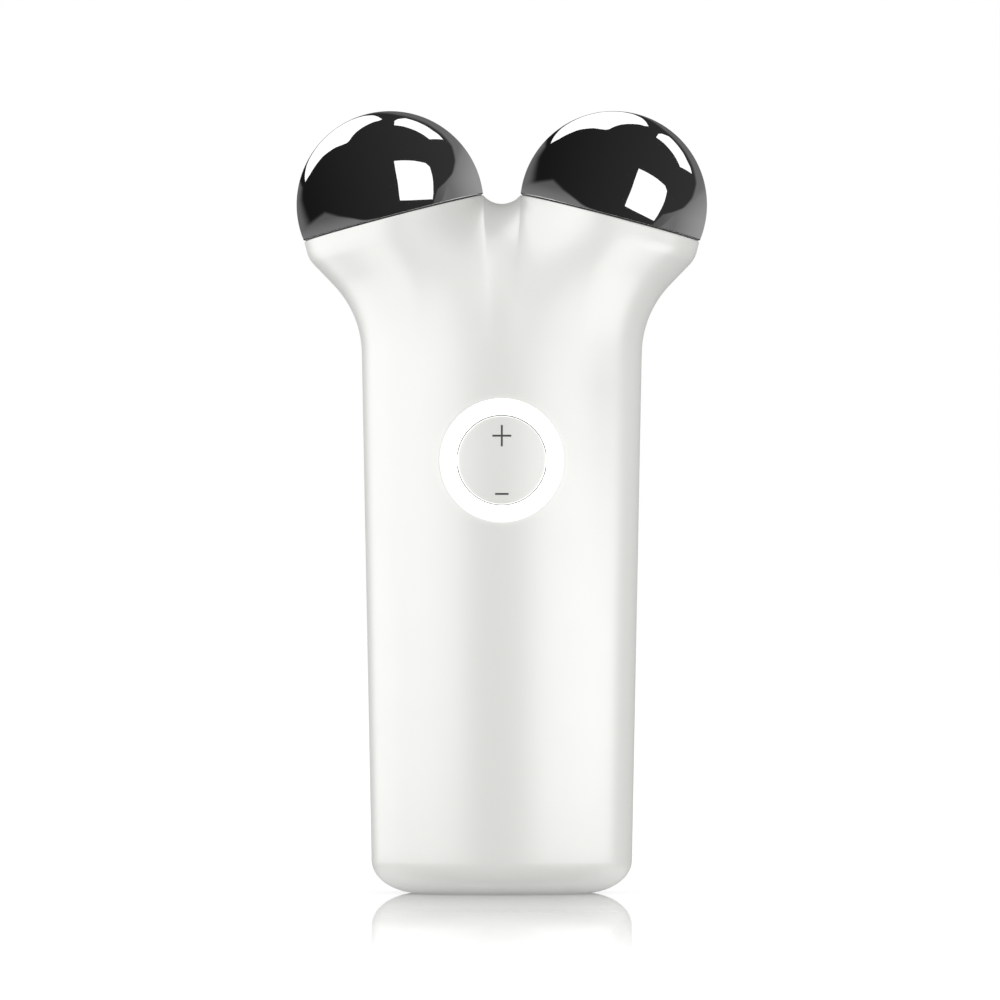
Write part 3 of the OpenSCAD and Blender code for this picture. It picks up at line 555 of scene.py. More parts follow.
@dataclass(frozen=True)
class DeviceSize:
    """Sizes that the housing, the spheres, the ring and the button share, as in the solids."""

    handle_w_top: float = 38.9
    handle_w_base: float = 36.2
    handle_t_top: float = 27.6
    handle_t_base: float = 26.4
    section_n: float = 2.3
    corner_h: float = 4.6
    corner_w: float = 6.6
    corner_t: float = 6.0
    wall: float = 2.0
    sphere_d: float = 26.0
    sphere_x: float = 15.53
    sphere_z: float = 95.66
    head_tilt: float = math.radians(14.6)
    rim_drop: float = 2.0
    neck_r: float = 14.0
    flare: float = math.radians(44.0)
    shoulder_r: float = 3.8
    cup_h: float = 1.5
    notch_sag: float = 1.2
    valley_h: float = 15.7
    blend_start: float = 4.0
    top_blend: float = 6.0
    button_z: float = 60.1
    ring_d: float = 16.8
    ring_bore: float = 12.5
    ring_t: float = 1.8
    button_gap: float = 0.2
    fit_gap: float = 0.1

    @property
    def ball_r(self) -> float:
        """Radius of a contact sphere."""
        return self.sphere_d / 2

    @property
    def rim_r(self) -> float:
        """Radius of a cup's rim."""
        return math.sqrt(self.ball_r ** 2 - self.rim_drop ** 2)

    @property
    def axis_out(self) -> Array:
        """Direction of the right sphere's axis, in X and Z."""
        return np.array([math.sin(self.head_tilt), math.cos(self.head_tilt)])

    @property
    def across_out(self) -> Array:
        """Direction across the right cup's rim, outwards and down."""
        return np.array([math.cos(self.head_tilt), -math.sin(self.head_tilt)])

    @property
    def rim_mid(self) -> Array:
        """Centre of the right cup's rim."""
        return np.array([self.sphere_x, self.sphere_z]) - self.rim_drop * self.axis_out

    @property
    def rim_out(self) -> Array:
        """Outer end of the right cup's rim."""
        return self.rim_mid + self.rim_r * self.across_out

    @property
    def rim_in(self) -> Array:
        """Inner end of the right cup's rim."""
        return self.rim_mid - self.rim_r * self.across_out

    @property
    def notch_z(self) -> float:
        """Lowest height of the notch between the cups."""
        return float(self.rim_in[1]) - self.notch_sag

    @property
    def cup_foot(self) -> Array:
        """Outer end of the cup's straight wall."""
        return self.rim_out - self.cup_h * self.axis_out

    @property
    def flare_top(self) -> Array:
        """Point where the neck's straight flare meets the shoulder."""
        t, f = self.head_tilt, self.flare
        return self.cup_foot - self.shoulder_r * np.array([math.cos(t) - math.cos(f), math.sin(f) - math.sin(t)])

    @property
    def flare_len(self) -> float:
        """Length of the straight flare."""
        f = self.flare
        return float(self.flare_top[0] - self.neck_r * (1 - math.cos(f)) - self.handle_w_top / 2) / math.sin(f)

    @property
    def neck_z(self) -> float:
        """Height at which the handle turns into the neck."""
        f = self.flare
        return float(self.flare_top[1]) - self.flare_len * math.cos(f) - self.neck_r * math.sin(f)

    def half_w(self, z: Array) -> Array:
        """Half width of the plain handle at height z."""
        f = (z - self.corner_h) / (self.neck_z - self.corner_h)
        return (self.handle_w_base + (self.handle_w_top - self.handle_w_base) * f) / 2

    def half_t(self, z: Array) -> Array:
        """Half thickness of the plain handle at height z."""
        f = (z - self.corner_h) / (self.neck_z - self.corner_h)
        return (self.handle_t_base + (self.handle_t_top - self.handle_t_base) * f) / 2

    def depth_at(self, x: Array, z: Array, k: float) -> Array:
        """Depth of the plain handle at x and z, k inside its surface: t (1 - |x/w|^n)^(1/n) with n squared away."""
        n = self.section_n
        body = np.clip(1 - np.abs(x / (self.half_w(z) - k)) ** n, 0, None)
        return (self.half_t(z) - k) * body ** (1 / n)

    @property
    def face_y(self) -> float:
        """Y of the button's middle."""
        return -float(self.half_t(np.array(self.button_z)))

    @property
    def crown_r(self) -> float:
        """Radius of the upright cylinder that the button and the ring are cut from."""
        r = self.ring_d / 2
        sag = -self.face_y - float(self.depth_at(np.array(r), np.array(self.button_z), 0.0))
        return (r * r + sag * sag) / (2 * sag)

    def crown_y(self, x: Array) -> Array:
        """Y of the curved face of the button and the ring at x."""
        return self.face_y + self.crown_r - np.sqrt(self.crown_r ** 2 - x * x)


@dataclass
class Housing:
    """Front and rear half of the housing: closed shells between an outer and an inner surface."""

    size: DeviceSize
    rim_round: float = 0.2
    seam_round: float = 0.12
    hole_round: float = 0.16
    cup_cols: int = 46
    notch_cols: int = 12
    corner_rows: int = 14
    neck_rows: int = 16
    flare_rows: int = 6
    shoulder_rows: int = 14
    cup_rows: int = 10
    block_half_h: float = 10.5
    block_half_w: float = 13.0
    port_w: float = 9.34
    port_t: float = 3.66
    collar_y: float = -11.17
    collar_r: float = 9.9
    low_rows: int = 28
    block_rows: int = 32
    high_rows: int = 6
    base_rows: int = 8
    blend_rows: int = 9
    post_x: float = 12.0
    post_z: tuple[float, float] = (13.5, 74.6)
    post_root_x: float = 14.0
    post_r: float = 2.0
    plate_y: float = -2.9198
    plate_back: float = -1.3198
    pin_r: float = 1.0
    pin_len: float = 2.5
    pin_bevel: float = 0.2
    socket_r: float = 1.1
    socket_len: float = 2.7

    def rows(self) -> tuple[Array, int, int]:
        """The rows of the surface from the base to the rims.

        Each row is half width, height, lean, half thickness and lean of the thickness: a quarter ellipse at the
        base, a straight side, an arc into the flare, the flare, an arc back to the tilt and the cup's straight wall.

        Returns:
            The rows and the numbers of the two rows that bound the block round the ring's hole.
        """
        d = self.size
        t = d.head_tilt
        a = np.linspace(0, np.pi / 2, self.corner_rows + 1)
        corner = np.stack([d.handle_w_base / 2 - d.corner_w * (1 - np.sin(a)), d.corner_h * (1 - np.cos(a)),
                           np.arctan2(d.corner_w * np.cos(a), d.corner_h * np.sin(a)),
                           d.handle_t_base / 2 - d.corner_t * (1 - np.sin(a)),
                           np.arctan2(d.corner_t * np.cos(a), d.corner_h * np.sin(a))], axis=-1)
        low, high = d.button_z - self.block_half_h, d.button_z + self.block_half_h
        z = np.concatenate([ramp(d.corner_h, low, self.low_rows, False), ramp(low, high, self.block_rows, False),
                            ramp(high, d.neck_z, self.high_rows, False)])
        zero = np.zeros_like(z)
        side = np.stack([d.half_w(z), z, zero, d.half_t(z), zero], axis=-1)
        a = ramp(0, d.flare, self.neck_rows, False)
        thick = d.handle_t_top / 2
        flat = np.full_like(a, thick), np.zeros_like(a)
        neck = np.stack([d.handle_w_top / 2 + d.neck_r * (1 - np.cos(a)), d.neck_z + d.neck_r * np.sin(a), a, *flat],
                        axis=-1)
        f = ramp(0, 1, self.flare_rows, False)
        foot = d.flare_top - d.flare_len * np.array([math.sin(d.flare), math.cos(d.flare)])
        line = foot + f[:, None] * (d.flare_top - foot)
        lean = np.full_like(f, d.flare)
        flare = np.stack([line[:, 0], line[:, 1], lean, np.full_like(f, thick), 0 * f], axis=-1)
        a = ramp(d.flare, t, self.shoulder_rows, False)
        shoulder = np.stack([d.cup_foot[0] - d.shoulder_r * (math.cos(t) - np.cos(a)),
                             d.cup_foot[1] - d.shoulder_r * (np.sin(a) - math.sin(t)), a,
                             np.full_like(a, thick), 0 * a], axis=-1)
        f = 1 - (1 - ramp(0, 1, self.cup_rows, False)) ** 2
        wall = np.stack([d.cup_foot[0] + f * d.cup_h * d.axis_out[0], d.cup_foot[1] + f * d.cup_h * d.axis_out[1],
                         np.full_like(f, t), np.full_like(f, thick), 0 * f], axis=-1)
        first = len(corner) - 1 + self.low_rows
        return np.vstack([corner, side, neck, flare, shoulder, wall]), first, first + self.block_rows

    def columns(self, k: float) -> Array:
        """Places across a row from -1 to 1: cosine steps over each cup and even steps over the notch, with two
        more places close to each edge for the rounded seam."""
        d = self.size
        width = float(d.rim_out[0]) - k * float(d.across_out[0])
        mid = float(d.rim_mid[0]) / width
        half = (d.rim_r - k) * math.cos(d.head_tilt) / width
        j = np.concatenate([[0.0, 0.25, 0.5], np.arange(1, self.cup_cols + 1)])
        left = -mid - half * np.cos(np.pi * j / self.cup_cols)
        notch = ramp(half - mid, mid - half, self.notch_cols, False)[:-1]
        return np.concatenate([left, notch, -left[::-1]])

    def skin(self, k: float) -> Array:
        """The outer surface (k = 0) or the one that lies k inside it, for the front half.

        The depth goes from a superellipse over the handle to the fourth-power sum of the round cups and the
        valley between them, by a smooth step of the height; the height rises to the rims and the notch's arc.

        Args:
            k: distance inside the outer surface.

        Returns:
            rows x columns x 3 points.
        """
        d = self.size
        t = d.head_tilt
        rows, _, _ = self.rows()
        w, z0, lean, thick, lean_t = (rows[:, i, None] for i in range(5))
        s = self.columns(k)[None, :]
        width = float(d.rim_out[0]) - k * math.cos(t)
        mid = float(d.rim_mid[0]) / width
        half = (d.rim_r - k) * math.cos(t) / width
        depth = d.notch_sag + k * (1 - math.sin(t))
        chord = float(d.rim_in[0]) + k * math.cos(t)
        notch_r = (chord ** 2 + depth ** 2) / (2 * depth)
        rise = 2 * (d.rim_r - k) * math.sin(t)
        lift = smooth((z0 - d.neck_z + d.blend_start) / (d.cup_foot[1] - d.neck_z + d.blend_start))
        top = smooth((z0 - d.cup_foot[1] + d.top_blend) / d.top_blend)

        def height(s: Array) -> Array:
            """Height of each row at s: a parabola that turns into the rims and the notch."""
            notch = rise - depth + notch_r - np.sqrt(np.clip(notch_r ** 2 - (s * width) ** 2, 0, None))
            line = (1 - np.abs(s)) * width * math.tan(t)
            rim = np.where(np.abs(s) >= mid - half - 1e-9, line, notch)
            return z0 + k * np.sin(lean) + lift * ((rise - depth) * (1 - s * s) * (1 - top) + rim * top)

        body = (thick - k * np.cos(lean_t)) * np.clip(1 - np.abs(s) ** d.section_n, 0, None) ** (1 / d.section_n)
        q = np.clip((height(np.zeros((1, 1))) - d.notch_z + d.valley_h) / (d.valley_h - k), 0, None)
        valley = (d.handle_t_top / 2 - k) ** 2 * np.clip(1 - q * q, 0, None)
        cups = (d.rim_r - k) ** 2 * np.clip(1 - ((np.abs(s) - mid) / half) ** 2, 0, None)
        head = (cups ** 2 + (valley * np.clip(1 - (s / mid) ** 2, 0, None)) ** 2) ** 0.25
        y = -(body * (1 - lift) + head * lift)
        return np.stack([s * (w - k * np.cos(lean)), y, height(s) + 0 * y], axis=-1)

    def port_ring(self, like: Array, grow: float, z: float) -> Array:
        """The half oval of the port's opening, with one point in the direction of each given point.

        Args:
            like: points whose direction from the middle is used.
            grow: how much larger the oval is on every side.
            z: height of the oval.

        Returns:
            The points, from left to right.
        """
        r, c = self.port_t / 2 + grow, (self.port_w - self.port_t) / 2
        angle = np.arctan2(-like[:, 1], like[:, 0])
        sin, cos = np.abs(np.sin(angle)), np.abs(np.cos(angle))
        flat = r / np.maximum(sin, 1e-9)
        ends = c * cos + np.sqrt(np.clip(r * r - (c * sin) ** 2, 0, None))
        length = np.where(flat * cos <= c, flat, ends)
        return np.stack([length * np.cos(angle), -length * sin, np.full_like(angle, z)], axis=-1)

    def with_base(self, skin: Array, like: Array, z: float, chamfer: float) -> Array:
        """Puts the base plate's rows before a surface: from the port's opening out to the surface's first row."""
        hole = self.port_ring(like, chamfer, z)
        f = ramp(0, 1, self.base_rows)[:-1, None, None]
        plate = hole[None] * (1 - f) + skin[:1] * f
        if chamfer:
            inner = self.port_ring(like, 0.0, z + chamfer)
            plate = np.concatenate([inner[None], plate])
        return np.concatenate([plate, skin])

    def round_seam(self, grid: Array) -> Array:
        """Rounds the side edges of the outer surface where the halves meet: a quarter circle over three columns."""
        e = self.seam_round
        grid = grid.copy()
        for side, cols in ((-1, (0, 1, 2)), (1, (-1, -2, -3))):
            edge = grid[:, cols[0]].copy()
            for col, angle in zip(cols, (90.0, 45.0, 0.0)):
                a = math.radians(angle)
                grid[:, col, 0] = edge[:, 0] + side * e * (math.cos(a) - 1)
                grid[:, col, 1] = -e * (1 - math.sin(a))
                grid[:, col, 2] = edge[:, 2]
        return grid

    def round_rim(self, outer: Array, inner: Array) -> Array:
        """Rounds the outer surface's top edge towards the inner surface.

        Each column's end is cut back by the radius along the column, and a quarter circle joins it to the point
        that lies one radius along the way from the old end to the inner surface.
        """
        r = self.rim_round
        end = outer[-1]
        gap = np.linalg.norm(outer - end, axis=-1)
        last = len(outer) - 1 - np.argmax(gap[::-1] > r, axis=0)
        cols = np.arange(outer.shape[1])
        a, b = outer[last, cols], outer[last + 1, cols]
        ga, gb = gap[last, cols], gap[last + 1, cols]
        start = a + ((ga - r) / np.maximum(ga - gb, 1e-9))[:, None] * (b - a)
        cut = np.where((np.arange(len(outer))[:, None] > last[None])[..., None], start[None], outer)
        down = (start - end) / r
        across = inner[-1] - end
        across = across / np.linalg.norm(across, axis=-1, keepdims=True)
        angle = np.radians(RIM_TURNS)[:, None, None]
        ring = end + r * down * (1 - np.sin(angle)) + r * across * (1 - np.cos(angle))
        return np.concatenate([cut, ring])

    def hole_patch(self, edge: Array, k: float, radii: Array, angles: Array) -> Array:
        """A ring-shaped patch of the plain handle's surface between circles round the button and a block's edge.

        Args:
            edge: the block's edge points, counter-clockwise.
            k: distance inside the outer surface.
            radii: radii of the circles, from the hole outwards.
            angles: angle of each column.

        Returns:
            Circles and blended rows, out to the edge, x columns x 3 points.
        """
        d = self.size
        ring = np.stack([np.cos(angles), np.sin(angles)], axis=-1)
        flat = edge[:, [0, 2]] - np.array([0.0, d.button_z])
        f = ramp(0, 1, self.blend_rows, False)[:, None, None]
        xz = np.concatenate([radii[:, None, None] * ring, radii[-1] * ring * (1 - f) + flat * f])
        z = xz[..., 1] + d.button_z
        y = -d.depth_at(xz[..., 0], z, k)
        patch = np.stack([xz[..., 0], y, z], axis=-1)
        patch[-1] = edge
        return patch

    def half(self, patches: Patches, front: bool) -> None:
        """Adds one half of the housing: outer and inner surface, seam faces, rims and the port's opening.

        Args:
            patches: where the surfaces go.
            front: the front half with the ring's hole, or the plain rear half.
        """
        d = self.size
        wall = d.wall
        outer, inner = self.skin(0.0), self.skin(wall)
        like = outer[0].copy()
        outer = self.round_seam(outer)
        like[0, 1] = like[-1, 1] = 0.0
        outer = self.with_base(outer, like, 0.0, self.seam_round)
        base = self.with_base(inner, like, wall, 0.0)
        inner = np.concatenate([base[:1], base])
        outer = self.round_rim(outer, inner)
        extra = len(RIM_TURNS)
        inner = np.concatenate([inner, np.repeat(inner[-1:], extra, axis=0)])
        start = inner[-extra - 2]
        inner[-extra - 1:-1] = start + ramp(0, 1, extra + 1)[1:-1, None, None] * (inner[-1] - start)
        mirror = np.array([1.0, 1.0 if front else -1.0, 1.0])

        def add(points: Array, flip: bool) -> None:
            """Adds a grid, mirrored for the rear half."""
            patches.grid(points * mirror, flip=flip == front)

        add(np.stack([outer[:, 0], inner[:, 0]], axis=1), True)
        add(np.stack([outer[:, -1], inner[:, -1]], axis=1), False)
        add(np.stack([outer[-1], inner[-1]]), False)
        add(np.stack([outer[0], inner[0]]), True)
        if not front:
            add(outer, False)
            add(inner, True)
            return
        _, first, last = self.rows()
        r0, r1 = first + self.base_rows + 1, last + self.base_rows + 1
        across = np.abs(outer[(r0 + r1) // 2, :, 0]) <= self.block_half_w
        c0, c1 = int(np.argmax(across)), len(across) - 1 - int(np.argmax(across[::-1]))

        def block_edge(grid: Array) -> Array:
            """Counter-clockwise points round the block, from its lower left corner."""
            return np.concatenate([grid[r0, c0:c1], grid[r0:r1, c1], grid[r1, c1:c0:-1], grid[r1:r0:-1, c0]])

        for grid, flip in ((outer, False), (inner, True)):
            add(grid[:r0 + 1], flip)
            add(grid[r1:], flip)
            add(grid[r0:r1 + 1, :c0 + 1], flip)
            add(grid[r0:r1 + 1, c1:], flip)
        edge = block_edge(outer)
        angles = np.arctan2(edge[:, 2] - d.button_z, edge[:, 0])
        hole_r, e = d.ring_d / 2 + d.fit_gap / 2, self.hole_round
        front_patch = self.hole_patch(edge, 0.0, hole_r + np.array([e, 3 * e, 1.0, 2.0]), angles)
        circle = np.stack([np.cos(angles), np.sin(angles)], axis=-1)

        def ring(r: float, y: Array) -> Array:
            """A circle round the button at radius r and depth y."""
            return np.stack([r * circle[:, 0], y + 0 * angles, d.button_z + r * circle[:, 1]], axis=-1)

        def skin_y(r: float, k: float) -> Array:
            """Depth of the surface k inside, along the circle of radius r."""
            return -d.depth_at(r * circle[:, 0], d.button_z + r * circle[:, 1], k)

        top = skin_y(hole_r + e, 0.0)
        seat_r = np.linspace(hole_r, self.collar_r, 5)
        seat = [ring(r, np.minimum(self.collar_y, skin_y(r, wall))) for r in seat_r]
        back = self.hole_patch(block_edge(inner), wall, np.array([self.collar_r]), angles)
        lip = [ring(hole_r + e * (1 - math.sin(a)), top + e * (1 - math.cos(a))) for a in np.radians(RIM_TURNS[:3])]
        rows = [*back[::-1], *seat[::-1], ring(hole_r, top + e), *lip[::-1], *front_patch]
        patches.grid(np.stack(rows) * mirror, wrap=True, flip=True)

    def rod(self, patches: Patches, at: Sequence[float], profile: Sequence[Sequence[float]]) -> None:
        """Adds a closed round piece along Y: a profile of radius and Y that starts and ends on its axis."""
        turned = revolve(np.array(profile, dtype=float), 40)
        points = np.stack([turned[..., 0] + at[0], turned[..., 2], turned[..., 1] + at[1]], axis=-1)
        patches.grid(points, wrap=True, flip=False)

    def posts(self, patches: Patches, front: bool) -> None:
        """Adds the four posts inside one half: pins on the front ones, blind sockets in the rear ones."""
        d = self.size
        r, pin, back = self.post_r, self.pin_r, self.plate_back
        for x in (-self.post_x, self.post_x):
            for z in self.post_z:
                root = float(d.depth_at(np.array(self.post_root_x), np.array(z), 0.0)) - d.wall / 4
                if front:
                    end, bevel = back + self.pin_len, self.pin_bevel
                    profile = [(0, -root), (r, -root), (r, self.plate_y), (pin, self.plate_y), (pin, end - bevel),
                               (pin - bevel, end), (0, end)]
                else:
                    hole = back + self.socket_len
                    profile = [(0, hole), (self.socket_r, hole), (self.socket_r, back), (r, back), (r, root), (0, root)]
                self.rod(patches, (x, z), profile)

    def build(self) -> dict[str, bpy.types.Object]:
        """Builds both halves.

        Returns:
            The front and the rear piece.
        """
        pieces = {}
        for name, front in (("housing_front", True), ("housing_rear", False)):
            patches = Patches()
            self.half(patches, front)
            self.posts(patches, front)
            pieces[name] = patches.build(name)
            pieces[name].data.set_sharp_from_angle(angle=math.radians(50))
        return pieces


# ---------------------------------------------------------------------------------------------------------------
# contact spheres
# ---------------------------------------------------------------------------------------------------------------


@dataclass
class ContactSphere:
    """One hollow plated sphere on its tilted axis, with its spigot and screw post."""

    size: DeviceSize
    side: int
    wall: float = 1.6
    seal: float = 0.2
    spigot_h: float = 1.1
    spigot_r: float = 10.545
    post_r: float = 3.0
    post_h: float = 12.2
    bore_r: float = 1.25
    edge_round: float = 0.1
    around: int = 288
    along: int = 150

    def profile(self) -> Array:
        """Radius and height from the top of the sphere over its edge, the spigot and the hollow to the screw bore.

        Returns:
            The profile, which starts and ends on the axis.
        """
        r = self.size.ball_r
        low = -(self.size.rim_drop - self.seal)
        stop = math.degrees(math.asin((low + self.edge_round) / r))
        ball = arc((0, 0), r, 90, stop + 0.6, self.along)
        ball[0, 0] = 0.0
        ball = np.vstack([ball, arc((0, 0), r, stop + 0.35, stop, 1)])
        e = self.edge_round
        corner = arc((ball[-1, 0] - e, low + e), e, 0, -90, 4)
        inner = r - self.wall
        seat = self.wall + low
        hollow = arc((0, 0), inner, math.degrees(math.asin(seat / inner)), math.degrees(math.acos(self.post_r / inner)),
                     24)
        bottom = -self.size.rim_drop - self.spigot_h
        bore = self.spigot_r - self.wall
        rest = [(self.spigot_r, low), (self.spigot_r, bottom + 0.2), (self.spigot_r - 0.2, bottom), (bore, bottom),
                (bore, seat)]
        tail = [(self.post_r, -self.post_h), (self.bore_r, -self.post_h), (self.bore_r, -5.2), (0.0, -5.2)]
        return np.vstack([ball, corner, rest, hollow, tail])

    def build(self) -> bpy.types.Object:
        """Turns the profile round the axis, leans it outwards and sets it in its cup.

        Returns:
            The sphere.
        """
        turned = revolve(self.profile(), self.around)
        t = self.side * self.size.head_tilt
        x, y, z = turned[..., 0], turned[..., 1], turned[..., 2]
        points = np.stack([self.side * self.size.sphere_x + x * math.cos(t) + z * math.sin(t), y,
                           self.size.sphere_z - x * math.sin(t) + z * math.cos(t)], axis=-1)
        patches = Patches()
        patches.grid(points, wrap=True, flip=True)
        name = "contact_sphere_left" if self.side < 0 else "contact_sphere_right"
        obj = patches.build(name)
        obj.data.set_sharp_from_angle(angle=math.radians(35))
        return obj


# ---------------------------------------------------------------------------------------------------------------
# ring of light and button
# ---------------------------------------------------------------------------------------------------------------


@dataclass
class ButtonGroup:
    """The frosted ring, the rocking button and its printed plus and minus."""

    size: DeviceSize
    ring_round: float = 0.14
    cap_round: float = 0.1
    around: int = 160
    cap_back: float = -9.67
    pivot_y: float = -10.67
    face_t: float = 1.7
    cap_wall: float = 1.2
    pivot_r: float = 0.8
    pivot_len: float = 1.6
    key_z: float = 3.3
    key_r: float = 1.0
    key_end: float = -8.62
    mark_h: float = 0.02
    plus: tuple[float, float, float, float] = (2.6, 2.94, 0.26, 63.46)
    minus: tuple[float, float, float] = (1.85, 0.26, 55.44)

    def crowned(self, profile: Sequence[Sequence[float]]) -> Array:
        """Turns a profile round the button's axis and bends it over the crown.

        Args:
            profile: rows of radius, depth and crown share. A share of 1 adds the crown's depth, 0 keeps Y as given.

        Returns:
            rows x around x 3 points.
        """
        p = np.array(profile, dtype=float)
        a = np.linspace(0, 2 * np.pi, self.around, endpoint=False)
        x = p[:, :1] * np.cos(a)
        z = self.size.button_z + p[:, :1] * np.sin(a)
        y = p[:, 1:2] + p[:, 2:3] * self.size.crown_y(x)
        return np.stack([x, y, z], axis=-1)

    def edge(self, r: float, e: float, side: int) -> list[tuple[float, float, float]]:
        """A quarter circle at a face's edge: from the wall to the face at the inner edge (side 1), or from the face
        to the wall at the outer edge (side -1)."""
        turns = np.radians([0.0, 22.5, 45.0, 67.5, 90.0])
        rows = [(r + side * e * (1 - math.cos(a)), e * (1 - math.sin(a)), 1.0) for a in turns]
        return rows if side > 0 else rows[::-1]

    def build_ring(self) -> bpy.types.Object:
        """The ring: bore, rounded inner edge, crowned face, rounded outer edge, wall and flat back."""
        inner, outer, e = self.size.ring_bore / 2, self.size.ring_d / 2, self.ring_round
        back = self.size.face_y + self.size.ring_t
        face = [(r, 0.0, 1.0) for r in np.linspace(inner + e, outer - e, 8)[1:-1]]
        profile = [(inner, back, 0.0), *self.edge(inner, e, 1), *face, *self.edge(outer, e, -1), (outer, back, 0.0),
                   (inner, back, 0.0)]
        patches = Patches()
        patches.grid(self.crowned(profile), wrap=True, flip=True)
        obj = patches.build("light_ring_frosted")
        obj.data.set_sharp_from_angle(angle=math.radians(35))
        return obj

    def build_cap(self) -> bpy.types.Object:
        """The button: crowned face, rounded edge, skirt, hollow back, two pressing posts and two pivot pins."""
        r = self.size.ring_bore / 2 - self.size.button_gap
        e = self.cap_round
        face = [(f, 0.0, 1.0) for f in np.linspace(0.0, r - e, 22)[:-1]]
        seat = self.size.face_y + self.face_t
        inner = r - self.cap_wall
        profile = [*face, *self.edge(r, e, -1), (r, self.cap_back, 0.0), (inner, self.cap_back, 0.0),
                   (inner, seat, 0.0), (0.0, seat, 0.0)]
        patches = Patches()
        patches.grid(self.crowned(profile), wrap=True, flip=True)
        for side in (-1, 1):
            post = revolve(np.array([(0, 0.3), (self.key_r, 0.3), (self.key_r, seat - self.key_end + 0.15),
                                     (self.key_r - 0.15, seat - self.key_end), (0, seat - self.key_end)]), 32)
            patches.grid(to_front(post, self.size.button_z + side * self.key_z, seat), wrap=True, flip=False)
            start = r - self.cap_wall / 2
            end = r + self.pivot_len
            pin = revolve(np.array([(0, start), (self.pivot_r, start), (self.pivot_r, end - 0.12),
                                    (self.pivot_r - 0.12, end), (0, end)]), 32)
            points = np.stack([side * pin[..., 2], self.pivot_y + side * pin[..., 0],
                               self.size.button_z + pin[..., 1]], axis=-1)
            patches.grid(points, wrap=True, flip=False)
        obj = patches.build("rocker_button")
        obj.data.set_sharp_from_angle(angle=math.radians(35))
        return obj

    def mark(self, name: str, cells: list[tuple[Array, Array]], outline: Array) -> bpy.types.Object:
        """A printed mark that stands a hair off the button's face.

        Args:
            name: name of the piece.
            cells: pairs of x and z values, each a rectangle of the mark's face.
            outline: the mark's outline, counter-clockwise in x and z.

        Returns:
            The mark.
        """
        patches = Patches()
        for x, z in cells:
            gx, gz = np.meshgrid(x, z)
            patches.grid(np.stack([gx, self.size.crown_y(gx) - self.mark_h, gz], axis=-1))
        front = np.stack([outline[:, 0], self.size.crown_y(outline[:, 0]) - self.mark_h, outline[:, 1]], axis=-1)
        back = front + np.array([0.0, self.mark_h + 0.03, 0.0])
        patches.grid(np.stack([front, back]), wrap=True, flip=True)
        obj = patches.build(name)
        obj.data.set_sharp_from_angle(angle=math.radians(35))
        return obj

    def build_marks(self) -> list[bpy.types.Object]:
        """The plus above and the minus below the pivot."""
        w, h, t, z = self.plus[0] / 2, self.plus[1] / 2, self.plus[2] / 2, self.plus[3]
        across = np.array([[t, -h], [t, -t], [w, -t], [w, t], [t, t], [t, h], [-t, h], [-t, t], [-w, t], [-w, -t],
                           [-t, -t], [-t, -h]]) + np.array([0.0, z])
        plus = self.mark("mark_plus", [(np.array([-t, t]), z + np.array([-h, -t, t, h])),
                                       (np.array([-w, -t]), z + np.array([-t, t])),
                                       (np.array([t, w]), z + np.array([-t, t]))], across)
        w, t, z = self.minus[0] / 2, self.minus[1] / 2, self.minus[2]
        bar = np.array([[-w, -t], [w, -t], [w, t], [-w, t]]) + np.array([0.0, z])
        minus = self.mark("mark_minus", [(np.array([-w, w]), z + np.array([-t, t]))], bar)
        return [plus, minus]


# ---------------------------------------------------------------------------------------------------------------
# studio
# ---------------------------------------------------------------------------------------------------------------


